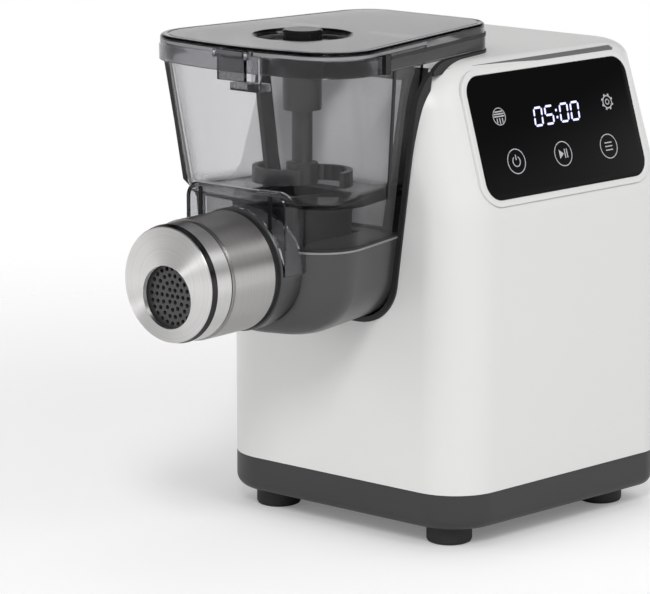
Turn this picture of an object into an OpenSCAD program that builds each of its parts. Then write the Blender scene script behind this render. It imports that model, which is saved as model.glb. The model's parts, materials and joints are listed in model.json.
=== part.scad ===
// Electric pasta maker: a tower with the drive, a clear mixing hopper hung on its
// front, and a steel barrel with a screw-on cap that the dough is pressed through.
// +Z is up, -Y is the front where the pasta comes out, +X is the control side.
// The origin is on the ground under the middle of the outer box.

/* [Tower] */
// Width across the front face
tower_front_w = 185; // [170:1:205]
// Depth from the front face to the back face
tower_depth = 182; // [172:1:200]
// Angle at which each side opens towards the back
tower_flare = 6; // [3:0.5:8]
// Radius of the upright corners at the front
tower_corner_r = 32; // [24:1:38]
// Radius of the upright corners at the back
back_corner_r = 18; // [14:1:22]
// Height of the tower's top face
tower_top = 283; // [278:1:292]
// Height where the sides start to lean in
lean_start = 200; // [190:1:206]
// Angle at which the upper sides lean in
lean_angle = 17.6; // [12:0.2:19]
// Radius of the top edge along the sides and the back
top_edge_r = 9; // [6:0.5:12]
// Radius of the top edge along the front
front_edge_r = 26; // [18:1:28]
// Wall of the tower's moulding
tower_wall = 3.2; // [2.6:0.1:3.6]

/* [Base] */
// Height of the foot pads
foot_h = 11.6; // [8:0.2:14]
// Radius of the foot pads
foot_r = 13.5; // [10:0.5:16]
// Height of the dark base
base_h = 21.9; // [18:0.1:26]
// Radius of the base's lower edge
base_edge_r = 7; // [4:0.5:10]
// Distance of the feet in from the front and back faces
foot_inset = 25; // [20:1:34]

/* [Control panel] */
// Length of the glass
glass_l = 137.6; // [120:0.1:140]
// Height of the glass along the lean
glass_h = 73; // [60:0.5:74]
// Distance of the glass behind the front corner
glass_from_front = 24.5; // [20:0.5:30]
// Distance of the glass above the bend in the side
glass_from_bend = 5.5; // [4:0.5:8]
// Thickness of the glass
glass_t = 1.4; // [1:0.1:1.6]
// Corner radius of the glass
glass_corner_r = 11; // [8:0.5:14]
// Width of the bezel seen round the glass
bezel_margin = 4; // [3:0.5:5]
// Height of the bezel above the tower's side
bezel_proud = 1.2; // [0.8:0.1:1.6]
// Depth of the bezel's seat in the tower's side
bezel_seat = 1.6; // [1.2:0.1:1.8]

/* [Hopper] */
// Half width of the hopper's rim on the tower, at its lower end
rim_low_half = 47; // [44:0.5:50]
// Half width of the hopper's rim on the tower, at the top
rim_top_half = 64; // [58:0.5:66]
// Height of the rim's lowest edge
rim_bottom = 129.5; // [126:0.5:134]
// Radius of the rim's lower corners
rim_corner_r = 28; // [22:1:30]
// Width of the rubber rim
rim_w = 3.2; // [2.4:0.2:4]
// Height of the rubber rim in front of the tower's face
rim_proud = 1.6; // [1:0.2:2.4]
// Depth of the pocket that the hopper sits in
pocket_depth = 10; // [8:0.5:11]
// Angle at which the hopper's sides open towards the front
hopper_taper = 9.5; // [7:0.5:10]
// Front of the lower housing at its corners, from the tower's front face
neck_reach = 68.5; // [66:0.5:74]
// Width of the step from the neck out to the chamber
shoulder_step = 8; // [4:0.5:10]
// How much the chamber's front leans out up to the lid
front_draft = 7; // [4:0.5:9]
// Bow of the front wall
front_bow = 10; // [6:0.5:13]
// Radius of the hopper's front corners
hopper_corner_r = 30; // [20:1:34]
// Wall of the hopper and its cover
hopper_wall = 2.6; // [2:0.1:3]
// Height of the seam between the dark lower housing and the hopper
seam_z = 184; // [180:0.5:186]
// Height of the chamber's floor
floor_z = 211; // [209:0.5:214]
// Drop from the lid's top to the hopper's lip
lip_drop = 4.6; // [4.4:0.1:6]

/* [Lid] */
// Height of the lid's top above the tower's top
lid_rise = 17; // [16.6:0.1:21]
// Thickness of the lid's plate
lid_t = 2.5; // [2:0.1:2.6]
// Height of the lid with its skirt at the front
skirt_h = 14.4; // [12:0.1:15.5]
// Rear end of the lid, behind the tower's front face
lid_reach = 87; // [84:1:96]
// Radius of the round well in the lid
well_r = 29; // [24:0.5:32]
// Depth of the well
well_depth = 3.5; // [2.5:0.1:3.6]
// Width of the lid latch
latch_w = 20; // [16:1:24]
// Height of the lid latch
latch_h = 17; // [15:0.5:19]
// Place of the latch to the right of the middle
latch_x = 6; // [-4:1:12]

/* [Barrel] */
// Height of the barrel's axis
axis_z = 172; // [170:0.5:174]
// Radius of the steel sleeve
sleeve_r = 34.5; // [33:0.1:36]
// Length of the steel sleeve
sleeve_l = 35.4; // [32:0.2:42]
// Length of the end cap
cap_l = 19; // [16:0.2:22]
// Radius of the outlet in the cap
outlet_r = 18; // [14:0.5:19]
// Distance of the outlet below the barrel's axis
outlet_drop = 7; // [4:0.5:8]
// Length of the collar behind the sleeve
collar_l = 11; // [9:0.5:14]
// Bore that the auger turns in
bore_r = 24; // [22:0.5:25]
// Running clearance between the auger's flight and its bore
auger_clearance = 0.6; // [0.4:0.1:1]
// Distance from one turn of the flight to the next
auger_pitch = 20; // [16:0.5:24]
// Thickness of the die
die_t = 5; // [4:0.5:6]
// Radius of the pasta holes in the die
die_hole_r = 1.25; // [1:0.05:1.5]

/* [Guard] */
// Half width of the clear guard over the barrel
guard_half = 37.5; // [36.8:0.1:42]
// Height of the guard's top
guard_top = 219; // [217:0.5:222]
// Wall of the guard
guard_wall = 2.2; // [1.8:0.1:2.6]
// Length that the guard stands out over the collar
guard_reach = 10.5; // [10:0.5:16]

/* [Mixer] */
// Distance of the mixing shaft in front of the tower's front face
mixer_reach = 30; // [28:0.5:34]
// Distance of the mixer's drive dog behind the tower's front face
dog_reach = 66; // [62:1:68]
// Radius of the mixing shaft
mixer_shaft_r = 5.8; // [5:0.1:6.5]
// Radius of the collar that carries the mixing shaft
mixer_collar_r = 11; // [10:0.5:13]
// Length of the collar that hangs round the mixing shaft
mixer_collar_l = 27; // [22:1:32]
// Radius swept by the mixing paddle
paddle_r = 32; // [28:0.5:33]
// Height of the paddle's blades
paddle_h = 9; // [7:0.5:12]
// Radius of the mixer's pulleys
pulley_r = 10; // [9:0.5:12]
// Thickness of the belt
belt_t = 1.5; // [1.2:0.1:2]

/* [Drive] */
// Module of the gears
gear_module = 2.5; // [2.5:0.5:2.5]
// Teeth on the motor's pinion
pinion_teeth = 12; // [12:1:12]
// Teeth on the drive gear
gear_teeth = 46; // [44:2:48]
// Width of the gears
gear_w = 10; // [8:0.5:11]
// Radius of the drive shaft
drive_shaft_r = 8; // [7:0.5:9]
// Radius of the motor
motor_r = 33; // [30:0.5:36]
// Length of the motor
motor_l = 88; // [80:1:92]
// Radius of the motor's shaft
motor_shaft_r = 4; // [3:0.5:5]
// Thickness of the plates of the gearbox
gearbox_plate = 3; // [2.5:0.5:4]

/* [Hidden] */
$fn = 64;

// Fits and clearances
fit = 0.3;        // between two pieces that are put together
run_fit = 0.06;   // between a shaft and its bore
touch = 0.05;     // between faces of a moving and a fixed piece that rest on each other
arc_steps = 6;    // straight pieces in a moulded corner
top_steps = 9;    // straight pieces in the tower's rounded top edge

// Heights and places worked out from the sizes above
front_y = -tower_depth / 2;
back_y = tower_depth / 2;
base_top = foot_h + base_h;
pocket_y = front_y + pocket_depth;
lid_top = tower_top + lid_rise;
hopper_top = lid_top - lip_drop;
skirt_low = lid_top - skirt_h;
axis_front = front_y - neck_reach - front_bow;
collar_y = axis_front - collar_l;
ring_w = 4;
sleeve_y = collar_y - ring_w;
cap_y = sleeve_y - sleeve_l;
cap_r = sleeve_r - 1;
cap_flat_r = cap_r - 0.8;
cap_taper_l = 4.3;
cap_dish = 2.2;
barrel_end = cap_y - cap_l + cap_dish * (outlet_r - outlet_drop) / cap_flat_r;
centre_y = -(barrel_end + back_y) / 2;
mixer_y = front_y - mixer_reach;
dog_y = front_y + dog_reach;
hopper_rear = pocket_y - fit;
gear_r = gear_module * gear_teeth / 2;
pinion_r = gear_module * pinion_teeth / 2;
motor_z = axis_z - gear_r - pinion_r;
gear_y = pocket_y + tower_wall + gearbox_plate + 10;
gearbox_gap = 1.5;
motor_y = gear_y + gear_w + gearbox_gap + gearbox_plate;
dog_side = 8;
bearing_r = 15;
bearing_w = 8;
cover_r = 17;
cover_wall = 1.6;
cover_low = tower_top + 1;
cover_top = lid_top - well_depth - lid_t;
mixer_collar_low = cover_low - mixer_collar_l;
pulley_w = cover_top - cover_low - 2 * cover_wall - 1.6;
pulley_z = cover_low + cover_wall + 0.8;
paddle_z = floor_z + 4;

// ---- general shapes ----

// Arc of one rounded corner at p between its neighbours a and b
function corner_arc(a, p, b, r, n) =
    let (u = (a - p) / norm(a - p), v = (b - p) / norm(b - p))
    let (half = acos(max(-1, min(1, u * v))) / 2)
    let (mid = (u + v) / norm(u + v), c = p + mid * r / sin(half))
    let (s = p + u * r / tan(half) - c, e = p + v * r / tan(half) - c)
    let (a0 = atan2(s[1], s[0]), d = atan2(e[1], e[0]) - a0)
    let (turn = d > 180 ? d - 360 : d < -180 ? d + 360 : d)
    [for (k = [0:n]) c + r * [cos(a0 + turn * k / n), sin(a0 + turn * k / n)]];

// Outline with every corner rounded by its own radius
function rounded(p, r, n = arc_steps) =
    [for (i = [0:len(p) - 1])
        each corner_arc(p[(i + len(p) - 1) % len(p)], p[i], p[(i + 1) % len(p)], r[i], n)];

// Ring of 3D points from a flat outline
function ring(outline, z) = [for (q = outline) [q[0], q[1], z]];

// Closed solid through rings that have the same number of points
module loft(rings) {
    n = len(rings[0]);
    last = (len(rings) - 1) * n;
    sides = [for (k = [0:len(rings) - 2]) for (i = [0:n - 1])
        let (j = (i + 1) % n, a = k * n)
        each [[a + i, a + n + i, a + n + j], [a + i, a + n + j, a + j]]];
    polyhedron(points = [for (r = rings) each r],
        faces = concat([[for (i = [0:n - 1]) i]], sides, [[for (i = [0:n - 1]) last + n - 1 - i]]),
        convexity = 6);
}

// Moves the children into the part's frame, with its origin under the middle
module in_frame(c) {
    color(c) translate([0, centre_y, 0]) children();
}

// Round piece along Y at the barrel's axis, from y0 towards the front
module along_barrel(y0, z = axis_z) {
    translate([0, y0, z]) rotate([90, 0, 0]) children();
}

// Tube along Y from y0 forwards, with a bore
module tube_y(y0, l, r, bore, z = axis_z) {
    along_barrel(y0, z) difference() {
        cylinder(h = l, r = r);
        translate([0, 0, -1]) cylinder(h = l + 2, r = bore);
    }
}

// Rounded rectangle centred on the origin
module soft_rect(w, h, r) {
    polygon(rounded([[-w / 2, -h / 2], [w / 2, -h / 2], [w / 2, h / 2], [-w / 2, h / 2]],
        [r, r, r, r], 5));
}

// ---- tower outline ----

// Lean of the upper sides, measured along X
function lean_at(z) = z > lean_start ? (z - lean_start) * tan(lean_angle) / cos(tower_flare) : 0;

// Drop-off of a rounded edge of radius r whose top is at z1
function round_off(z, z1, r) = z > z1 - r ? r - sqrt(max(0, r * r - pow(z - z1 + r, 2))) : 0;

// Outline of the tower with its sides, front and back moved in, and its corners by d
function tower_outline(side, front, back, d) =
    let (hf = tower_front_w / 2 - side)
    let (hb = hf + tower_depth * tan(tower_flare))
    rounded([[-hf, front_y + front], [hf, front_y + front], [hb, back_y - back], [-hb, back_y - back]],
        [tower_corner_r - d, tower_corner_r - d, back_corner_r - d, back_corner_r - d]);

function tower_ring(z, d = 0) =
    let (edge = round_off(z, tower_top, top_edge_r))
    let (front = round_off(z, tower_top, front_edge_r))
    ring(tower_outline(lean_at(z) + edge + d, front + d, edge + d, d), z);

inner_front = pocket_depth + tower_wall;
tray_floor = 4;
screw_hole_r = 2.6;

// Outline of the space inside the tower at height z
function inner_ring(z) =
    let (side = lean_at(z) + tower_wall)
    ring(tower_outline(side, inner_front, tower_wall, tower_wall), z);

module tower_space() {
    roof = tower_top - tower_wall;
    loft([inner_ring(base_top - 1), inner_ring(lean_start), inner_ring(roof)]);
}

// Frame on the leaning side: X out of the side, Y towards the back, Z up the side
module on_side() {
    translate([tower_front_w / 2, front_y, lean_start])
        rotate([0, 0, -tower_flare]) rotate([0, -lean_angle, 0]) children();
}

// Plate on the side, from depth x0 to x1, round the middle of the glass
module side_plate(x0, x1, w, h, r) {
    y = glass_from_front + glass_l / 2;
    z = glass_from_bend + glass_h / 2;
    on_side() translate([x0, y, z]) rotate([90, 0, 90]) linear_extrude(x1 - x0) soft_rect(w, h, r);
}

// ---- rim outline on the tower's front ----

function rim_half(z) = rim_low_half
    + (rim_top_half - rim_low_half) * (z - rim_bottom - rim_corner_r) / (tower_top - rim_bottom - rim_corner_r);

// Outline of the rim, moved in by d, open upwards past the tower's top
function rim_outline(d, top) =
    let (low = rim_bottom + d, hl = rim_half(rim_bottom) - d, ht = rim_half(top) - d)
    concat([[-ht, top]],
        corner_arc([-ht, top], [-hl, low], [hl, low], rim_corner_r - d, 10),
        corner_arc([-hl, low], [hl, low], [ht, top], rim_corner_r - d, 10),
        [[ht, top]]);

module rim_plate(y0, y1, d, top) {
    translate([0, y1, 0]) rotate([90, 0, 0]) linear_extrude(y1 - y0) polygon(rim_outline(d, top));
}

// ---- hopper outline ----

hopper_in = rim_w + fit;

// Half width of the hopper at height z and depth y
function hopper_half(y, z) = rim_half(z) - hopper_in + (front_y - rim_proud - y) * tan(hopper_taper);

// Radius of the bowed middle of a front wall of half width h
function bow_r(h) = 0.35 * h * h / front_bow;

// Ring of the hopper: front corners at yf, rear at yr, moved in by d
function hopper_ring(z, yf, d, yr = hopper_rear, zw = undef, drop = 0) =
    let (w = is_undef(zw) ? z : zw, side = d / cos(hopper_taper) + drop)
    let (front = yf + d, rear = yr - d)
    let (hf = hopper_half(front, w) - side, hr = hopper_half(rear, w) - side)
    let (corner = min(hopper_corner_r - d, 0.45 * hf), back_r = 5 - min(d, 4))
    ring(rounded([[0, front - front_bow], [hf, front], [hr, rear], [-hr, rear], [-hf, front]],
        [bow_r(hf), corner, back_r, back_r, corner]), z);

neck_y = front_y - neck_reach;
chamber_y = neck_y - shoulder_step;
floor_y = neck_y - shoulder_step * 0.35;
chamber_top_y = chamber_y - front_draft;
shoulder_z = floor_z + 4;
function chamber_front(z) = chamber_y - front_draft * (z - shoulder_z) / (lid_top - shoulder_z);

// Tapered groove in the rounded edge above the bezel, along the edge's slope
groove_in = 14;
groove_l = glass_l * 0.86;
groove_w = 3.8;
groove_depth = bezel_seat + 0.15;
groove_tilt = 32;

module edge_groove() {
    on_side() translate([-groove_depth, glass_from_front + groove_in, glass_from_bend + glass_h + bezel_margin])
        rotate([0, -groove_tilt, 0]) rotate([90, 0, 90]) linear_extrude(10)
            polygon([[0, groove_w * 0.85], [groove_l * 0.28, groove_w * 0.4], [groove_l * 0.5, -0.3],
                [groove_l, -0.3], [groove_l + 1.5, groove_w * 0.4], [groove_l, groove_w]]);
}

// ---- tower pieces ----

// Tower without its hollow, moved in by d, with finer steps towards its rounded top
module tower_solid(d) {
    loft(concat([tower_ring(base_top, d), tower_ring(lean_start, d)],
        [for (k = [0:top_steps]) tower_ring(tower_top - front_edge_r * (1 - sin(90 * k / top_steps)), d)]));
}

module housing() {
    in_frame([0.93, 0.93, 0.92]) difference() {
        tower_solid(0);
        tower_space();
        rim_plate(front_y - 5, pocket_y, 0, tower_top + 5);
        along_barrel(pocket_y + tower_wall + 1) cylinder(h = tower_wall + 2, r = seal_r + touch);
        side_plate(-bezel_seat, 20, glass_l + 2 * bezel_margin + fit, glass_h + 2 * bezel_margin + fit,
            glass_corner_r + bezel_margin);
        side_plate(-12, 1, glass_l - 4, glass_h - 4, glass_corner_r - 2);
        edge_groove();
        translate([0, dog_y, tower_top - tower_wall - 1]) cylinder(h = tower_wall + 2, r = dog_hole_r);
        vent_plate(back_y - tower_wall - 1, back_y + 1, vent_w - 8, vent_h - 8);
        vent_plate(back_y - vent_seat, back_y + 1, vent_w + fit, vent_h + fit);
        inlet_block(back_y - tower_wall - 1, back_y + 1, fit);
    }
}

// Floor and wall of the dark tray that closes the tower from below
function tray_ring(z, d) = ring(tower_outline(d, d, d, d), z);

module base_tray() {
    in_frame([0.25, 0.25, 0.255]) difference() {
        loft([tray_ring(foot_h, base_edge_r), tray_ring(foot_h + base_edge_r * 0.13, base_edge_r * 0.5),
            tray_ring(foot_h + base_edge_r * 0.5, base_edge_r * 0.13), tray_ring(foot_h + base_edge_r, 0),
            tray_ring(base_top - touch, 0), tray_ring(base_top - touch, tower_wall),
            tray_ring(foot_h + tray_floor, tower_wall + 4)]);
        foot_places() translate([0, 0, -1]) cylinder(h = foot_h + 2.5, r = foot_r - 3);
        foot_places() translate([0, 0, foot_h]) cylinder(h = 10, r = screw_hole_r);
    }
}

function foot_x(y) = tower_front_w / 2 + (y - front_y) * tan(tower_flare) - foot_inset - 4;

module foot_places() {
    for (y = [front_y + foot_inset, back_y - foot_inset])
        for (s = [-1, 1]) translate([s * foot_x(y), y, 0]) children();
}

module feet() {
    in_frame([0.08, 0.08, 0.08]) foot_places() difference() {
        union() {
            rotate_extrude() polygon([[0, 0], [foot_r - 2, 0], [foot_r - 0.6, 0.6], [foot_r, 2],
                [foot_r, foot_h - touch], [0, foot_h - touch]]);
            cylinder(h = foot_h + 1.4, r = foot_r - 3 - fit);
        }
        translate([0, 0, -1]) cylinder(h = 6, r = 5);
        translate([0, 0, 4]) cylinder(h = 20, r = screw_hole_r);
    }
}

module base_screws() {
    in_frame([0.7, 0.7, 0.72]) foot_places() union() {
        translate([0, 0, 2.5]) cylinder(h = 2.5, r = 4.2);
        translate([0, 0, 4]) cylinder(h = foot_h + 3, r = screw_hole_r - 0.1);
    }
}

module control_bezel() {
    in_frame([0.93, 0.93, 0.92]) union() {
        difference() {
            side_plate(-bezel_seat, bezel_proud, glass_l + 2 * bezel_margin, glass_h + 2 * bezel_margin,
                glass_corner_r + bezel_margin);
            side_plate(bezel_proud - glass_t, 20, glass_l + 0.3, glass_h + 0.3, glass_corner_r + 0.15);
            side_plate(-10, 20, glass_l - 18, glass_h - 18, glass_corner_r - 4);
        }
        board_posts(-board_depth, -bezel_seat + 0.5, 3);
    }
}

board_depth = 8;
board_l = glass_l - 6;
board_h = glass_h - 6;

module board_posts(x0, x1, r) {
    y = glass_from_front + glass_l / 2;
    z = glass_from_bend + glass_h / 2;
    for (u = [-1, 1]) for (v = [-1, 1])
        on_side() translate([x0, y + u * (glass_l / 2 - 7), z + v * (glass_h / 2 - 7)])
            rotate([0, 90, 0]) cylinder(h = x1 - x0, r = r);
}

module panel_glass() {
    in_frame([0.07, 0.07, 0.07])
        side_plate(bezel_proud - glass_t + 0.02, bezel_proud - 0.1, glass_l, glass_h, glass_corner_r);
}

module control_board() {
    in_frame([0.1, 0.35, 0.2]) side_plate(-board_depth - 1.6, -board_depth, board_l - 4, board_h - 4, 3);
}

display_l = glass_l * 0.4;
display_h = glass_h * 0.3;

module display_module() {
    in_frame([0.1, 0.1, 0.12]) side_plate(-board_depth, -1, display_l, display_h, 1.5);
}

vent_w = 96;
vent_h = 60;
vent_seat = 1.6;
vent_z = 130;

module vent_plate(y0, y1, w, h) {
    translate([0, y1, vent_z]) rotate([90, 0, 0]) linear_extrude(y1 - y0) soft_rect(w, h, 6);
}

module rear_vent() {
    slot_pitch = 6;
    slots = floor((vent_h - 18) / slot_pitch);
    in_frame([0.9, 0.9, 0.89]) difference() {
        vent_plate(back_y - vent_seat + touch, back_y, vent_w, vent_h);
        for (k = [0:slots]) translate([-(vent_w - 20) / 2, back_y - 5, vent_z + (k - slots / 2) * slot_pitch - 1.2])
            cube([vent_w - 20, 10, 2.4]);
    }
}

inlet_w = 31;
inlet_h = 24;
inlet_z = 62;

module inlet_block(y0, y1, gap = 0) {
    translate([-(inlet_w + gap) / 2, y0, inlet_z - (inlet_h + gap) / 2])
        cube([inlet_w + gap, y1 - y0, inlet_h + gap]);
}

inlet_depth = 22;
inlet_wall = 2;
socket_depth = 18;
pin_gap = 7;
inlet_pin_r = 1.6;

module power_inlet() {
    in_frame([0.1, 0.1, 0.1]) union() {
        difference() {
            inlet_block(back_y - inlet_depth, back_y);
            translate([-inlet_w / 2 + inlet_wall, back_y - socket_depth, inlet_z - inlet_h / 2 + inlet_wall])
                cube([inlet_w - 2 * inlet_wall, socket_depth + 2, inlet_h - 2 * inlet_wall]);
        }
        for (k = [-1, 0, 1]) translate([k * pin_gap, back_y - 2, inlet_z + (k == 0 ? 4 : -2)])
            rotate([90, 0, 0]) cylinder(h = socket_depth - 1, r = inlet_pin_r);
    }
}

// ---- drive ----

fan_gap = 3;
fan_w = 9;
motor_end = motor_y + motor_l;

module motor_can() {
    in_frame([0.55, 0.56, 0.58]) difference() {
        along_barrel(motor_end, motor_z) cylinder(h = motor_l - touch, r = motor_r);
        along_barrel(motor_end + 1, motor_z) cylinder(h = motor_l + 2, r = motor_shaft_r + run_fit);
        along_barrel(motor_end - 4, motor_z) cylinder(h = motor_l - 8, r = motor_r - 9);
    }
}

module motor_rotor() {
    in_frame([0.6, 0.6, 0.62]) union() {
        along_barrel(motor_end + fan_gap + fan_w, motor_z)
            cylinder(h = motor_l + fan_gap + fan_w + gearbox_plate + gearbox_gap + gear_w, r = motor_shaft_r);
        along_barrel(motor_end - 10, motor_z) cylinder(h = motor_l - 20, r = motor_r - 10);
    }
}

module cooling_fan() {
    in_frame([0.15, 0.15, 0.16]) union() {
        tube_y(motor_end + fan_gap + fan_w, fan_w, 9, motor_shaft_r + 0.001, motor_z);
        for (k = [0:8]) translate([0, motor_end + fan_gap, motor_z]) rotate([0, k * 40, 0])
            translate([8, 1, -1]) rotate([24, 0, 0]) cube([motor_r - 12, fan_w - 2, 1.6]);
    }
}

// Involute-like spur gear outline with straight-sided teeth
module gear_2d(teeth, backlash = 0.35) {
    pitch_r = gear_module * teeth / 2;
    root = pitch_r - 1.2 * gear_module;
    tip = pitch_r + 0.9 * gear_module;
    half = 90 / teeth - backlash / 2 / pitch_r * 57.3;
    top = half * 0.42;
    base = half * 1.45;
    polygon([for (k = [0:teeth - 1]) let (a = k * 360 / teeth)
        each [[root * cos(a - base), root * sin(a - base)],
            [pitch_r * cos(a - half), pitch_r * sin(a - half)], [tip * cos(a - top), tip * sin(a - top)],
            [tip * cos(a + top), tip * sin(a + top)], [pitch_r * cos(a + half), pitch_r * sin(a + half)],
            [root * cos(a + base), root * sin(a + base)]]]);
}

module motor_pinion() {
    in_frame([0.7, 0.7, 0.72]) along_barrel(gear_y + gear_w, motor_z) difference() {
        linear_extrude(gear_w) rotate(90 + 180 / pinion_teeth) gear_2d(pinion_teeth);
        translate([0, 0, -1]) cylinder(h = gear_w + 2, r = motor_shaft_r + 0.001);
    }
}

module drive_gear() {
    in_frame([0.9, 0.88, 0.8]) along_barrel(gear_y + gear_w) difference() {
        linear_extrude(gear_w) rotate(-90) gear_2d(gear_teeth);
        translate([0, 0, -1]) cylinder(h = gear_w + 2, r = drive_shaft_r + 0.001);
        translate([0, 0, 3]) difference() {
            cylinder(h = gear_w, r = gear_r - 9);
            cylinder(h = gear_w, r = 18);
        }
    }
}

// Outline shared by the two plates of the gearbox
module gearbox_2d(d = 0) {
    big = gear_r + gear_module + 5 - d;
    small = pinion_r + gear_module + 9 - d;
    union() {
        circle(r = big, $fn = 96);
        translate([0, motor_z - axis_z]) circle(r = small);
        polygon([[-big * 0.9, -big * 0.42], [big * 0.9, -big * 0.42], [small * 0.98, motor_z - axis_z],
            [-small * 0.98, motor_z - axis_z]]);
    }
}

module gearbox_case() {
    back = motor_y;
    in_frame([0.35, 0.36, 0.38]) along_barrel(back) difference() {
        linear_extrude(gearbox_depth) gearbox_2d();
        translate([0, 0, gearbox_plate]) linear_extrude(gearbox_depth) gearbox_2d(3);
        translate([0, motor_z - axis_z, -1]) cylinder(h = gearbox_depth, r = motor_shaft_r + 2);
        translate([0, 0, -1]) cylinder(h = gearbox_depth, r = drive_shaft_r + 2);
    }
    in_frame([0.35, 0.36, 0.38]) tube_y(back + bearing_w, bearing_w + 0.5, bearing_r + 4, bearing_r + 0.001);
}

gearbox_depth = gearbox_plate + 2 * gearbox_gap + gear_w;
cover_front = motor_y - gearbox_depth - gearbox_plate;

module gearbox_cover() {
    in_frame([0.35, 0.36, 0.38]) union() {
        along_barrel(cover_front + gearbox_plate) difference() {
            linear_extrude(gearbox_plate - touch) gearbox_2d();
            translate([0, 0, -1]) cylinder(h = gearbox_plate + 2, r = bearing_r + 0.001);
        }
        tube_y(cover_front + 0.5, bearing_w - gearbox_plate, bearing_r + 4, bearing_r + 0.001);
    }
}

shaft_tail = motor_y + bearing_w;
auger_wall = 12;
coupling_y = hopper_rear - auger_wall;
coupling_l = 10;
coupling_side = 9;

module drive_shaft() {
    in_frame([0.72, 0.72, 0.74]) union() {
        along_barrel(shaft_tail) cylinder(h = shaft_tail - coupling_y, r = drive_shaft_r);
        translate([-coupling_side / 2, coupling_y - coupling_l, axis_z - coupling_side / 2])
            cube([coupling_side, coupling_l + 1, coupling_side]);
    }
}

module shaft_bearings() {
    in_frame([0.75, 0.75, 0.78]) union() {
        tube_y(shaft_tail, bearing_w, bearing_r, drive_shaft_r + run_fit);
        tube_y(cover_front + gearbox_plate, bearing_w, bearing_r, drive_shaft_r + run_fit);
    }
}

seal_r = drive_shaft_r + 5;

module shaft_seal() {
    in_frame([0.1, 0.1, 0.1]) union() {
        tube_y(pocket_y + tower_wall, tower_wall, seal_r, drive_shaft_r + run_fit);
        tube_y(pocket_y + tower_wall + 2, 2, seal_r + 4, drive_shaft_r + run_fit);
    }
}

saddle_t = 8;
saddle_wall = 5;

module motor_saddle() {
    low = foot_h + tray_floor;
    top = motor_z - motor_r * 0.4;
    half = motor_r + saddle_wall;
    window = motor_r * 0.42;
    in_frame([0.3, 0.3, 0.31]) difference() {
        for (y = [motor_y + 2 * saddle_t, motor_end - 3 * saddle_t]) translate([-half, y, low])
            cube([2 * half, saddle_t, top - low]);
        along_barrel(motor_end + 5, motor_z) cylinder(h = motor_l + 10, r = motor_r);
        for (y = [motor_y + 2 * saddle_t, motor_end - 3 * saddle_t]) translate([-window, y - 1, low + saddle_t])
            cube([2 * window, saddle_t + 2, motor_z - motor_r - low - 2 * saddle_t]);
    }
}

mixer_can_r = 19;
mixer_can_h = 44;
mixer_head_h = 18;
dog_stem_l = 40;
dog_stem_r = 4;
dog_hole_r = 9;

module mixer_motor() {
    roof = tower_top - tower_wall;
    in_frame([0.5, 0.51, 0.53]) translate([0, dog_y, 0]) difference() {
        union() {
            translate([0, 0, roof - mixer_head_h - mixer_can_h]) cylinder(h = mixer_can_h, r = mixer_can_r);
            translate([0, 0, roof - mixer_head_h]) cylinder(h = mixer_head_h - touch, r = mixer_can_r + 3);
        }
        translate([0, 0, roof - mixer_head_h + 2]) cylinder(h = mixer_head_h, r = dog_hole_r + 2);
        translate([0, 0, roof - dog_stem_l - 10]) cylinder(h = dog_stem_l + 20, r = dog_stem_r + run_fit);
    }
}

module mixer_dog() {
    roof = tower_top - tower_wall;
    in_frame([0.12, 0.12, 0.12]) translate([0, dog_y, 0]) union() {
        translate([0, 0, roof - dog_stem_l]) cylinder(h = 30, r = dog_stem_r);
        translate([0, 0, roof - 14]) cylinder(h = tower_wall + 13, r = dog_hole_r - 0.6);
        translate([-dog_side / 2, -dog_side / 2, tower_top - 2]) cube([dog_side, dog_side, pulley_z + 3 - tower_top]);
    }
}

// ---- hopper pieces ----

// Side view of the tower's rounded front edge from the middle, moved out by d, as a bar across the tower
module front_profile(d) {
    r = front_edge_r + d;
    z1 = tower_top - front_edge_r;
    y1 = front_y + front_edge_r;
    rotate([90, 0, 90]) translate([0, 0, -tower_front_w]) linear_extrude(2 * tower_front_w)
        polygon(concat([[front_y - d, rim_bottom - 5]],
            [for (k = [0:top_steps]) let (a = 90 * k / top_steps) [y1 - r * cos(a), z1 + r * sin(a)]],
            [[lid_rear + 10, tower_top + d], [lid_rear + 10, rim_bottom - 5]]));
}

// Strip round the lid's foot on the tower's top, one rim width wide
module foot_strip_2d() {
    difference() {
        polygon(lid_outline(lid_out + 0.8));
        polygon(lid_outline(lid_out + 0.8 - rim_w));
        translate([-100, pocket_y - 100]) square([200, 100]);
    }
}

module hopper_rim() {
    in_frame([0.05, 0.05, 0.05]) difference() {
        intersection() {
            union() {
                difference() {
                    rim_plate(front_y - rim_proud, pocket_y - touch, touch, tower_top + 10);
                    rim_plate(front_y - 5, pocket_y + 1, rim_w, tower_top + 20);
                }
                translate([0, 0, tower_top - 6]) linear_extrude(12) foot_strip_2d();
            }
            front_profile(rim_proud);
        }
        difference() {
            tower_solid(-touch);
            translate([-100, front_y - 50, 0]) cube([200, pocket_y - touch - front_y + 50, 400]);
        }
    }
}

lower_r = rim_corner_r - rim_w - fit;
lower_bottom = rim_bottom + rim_w + fit;

// Ring of the lower housing, whose sides round off towards its bottom
function lower_ring(z, d = 0) =
    let (up = lower_bottom + lower_r - z)
    let (drop = up > 0 ? lower_r - sqrt(max(0, lower_r * lower_r - up * up)) : 0)
    hopper_ring(z, neck_y + max(0, drop - 6) * 0.35, d, hopper_rear, z, drop);

module lower_housing() {
    h = lower_r;
    in_frame([0.3, 0.3, 0.3]) difference() {
        loft([lower_ring(lower_bottom), lower_ring(lower_bottom + h * 0.03), lower_ring(lower_bottom + h * 0.12),
            lower_ring(lower_bottom + h * 0.3), lower_ring(lower_bottom + h * 0.6),
            lower_ring(lower_bottom + h), lower_ring(seam_z - touch)]);
        collar_seat();
        along_barrel(coupling_y) cylinder(h = 200, r = bore_r);
        along_barrel(hopper_rear + 5) cylinder(h = 60, r = drive_shaft_r + 1);
        chute_block(axis_z, seam_z + 20, 0);
    }
}

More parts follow.
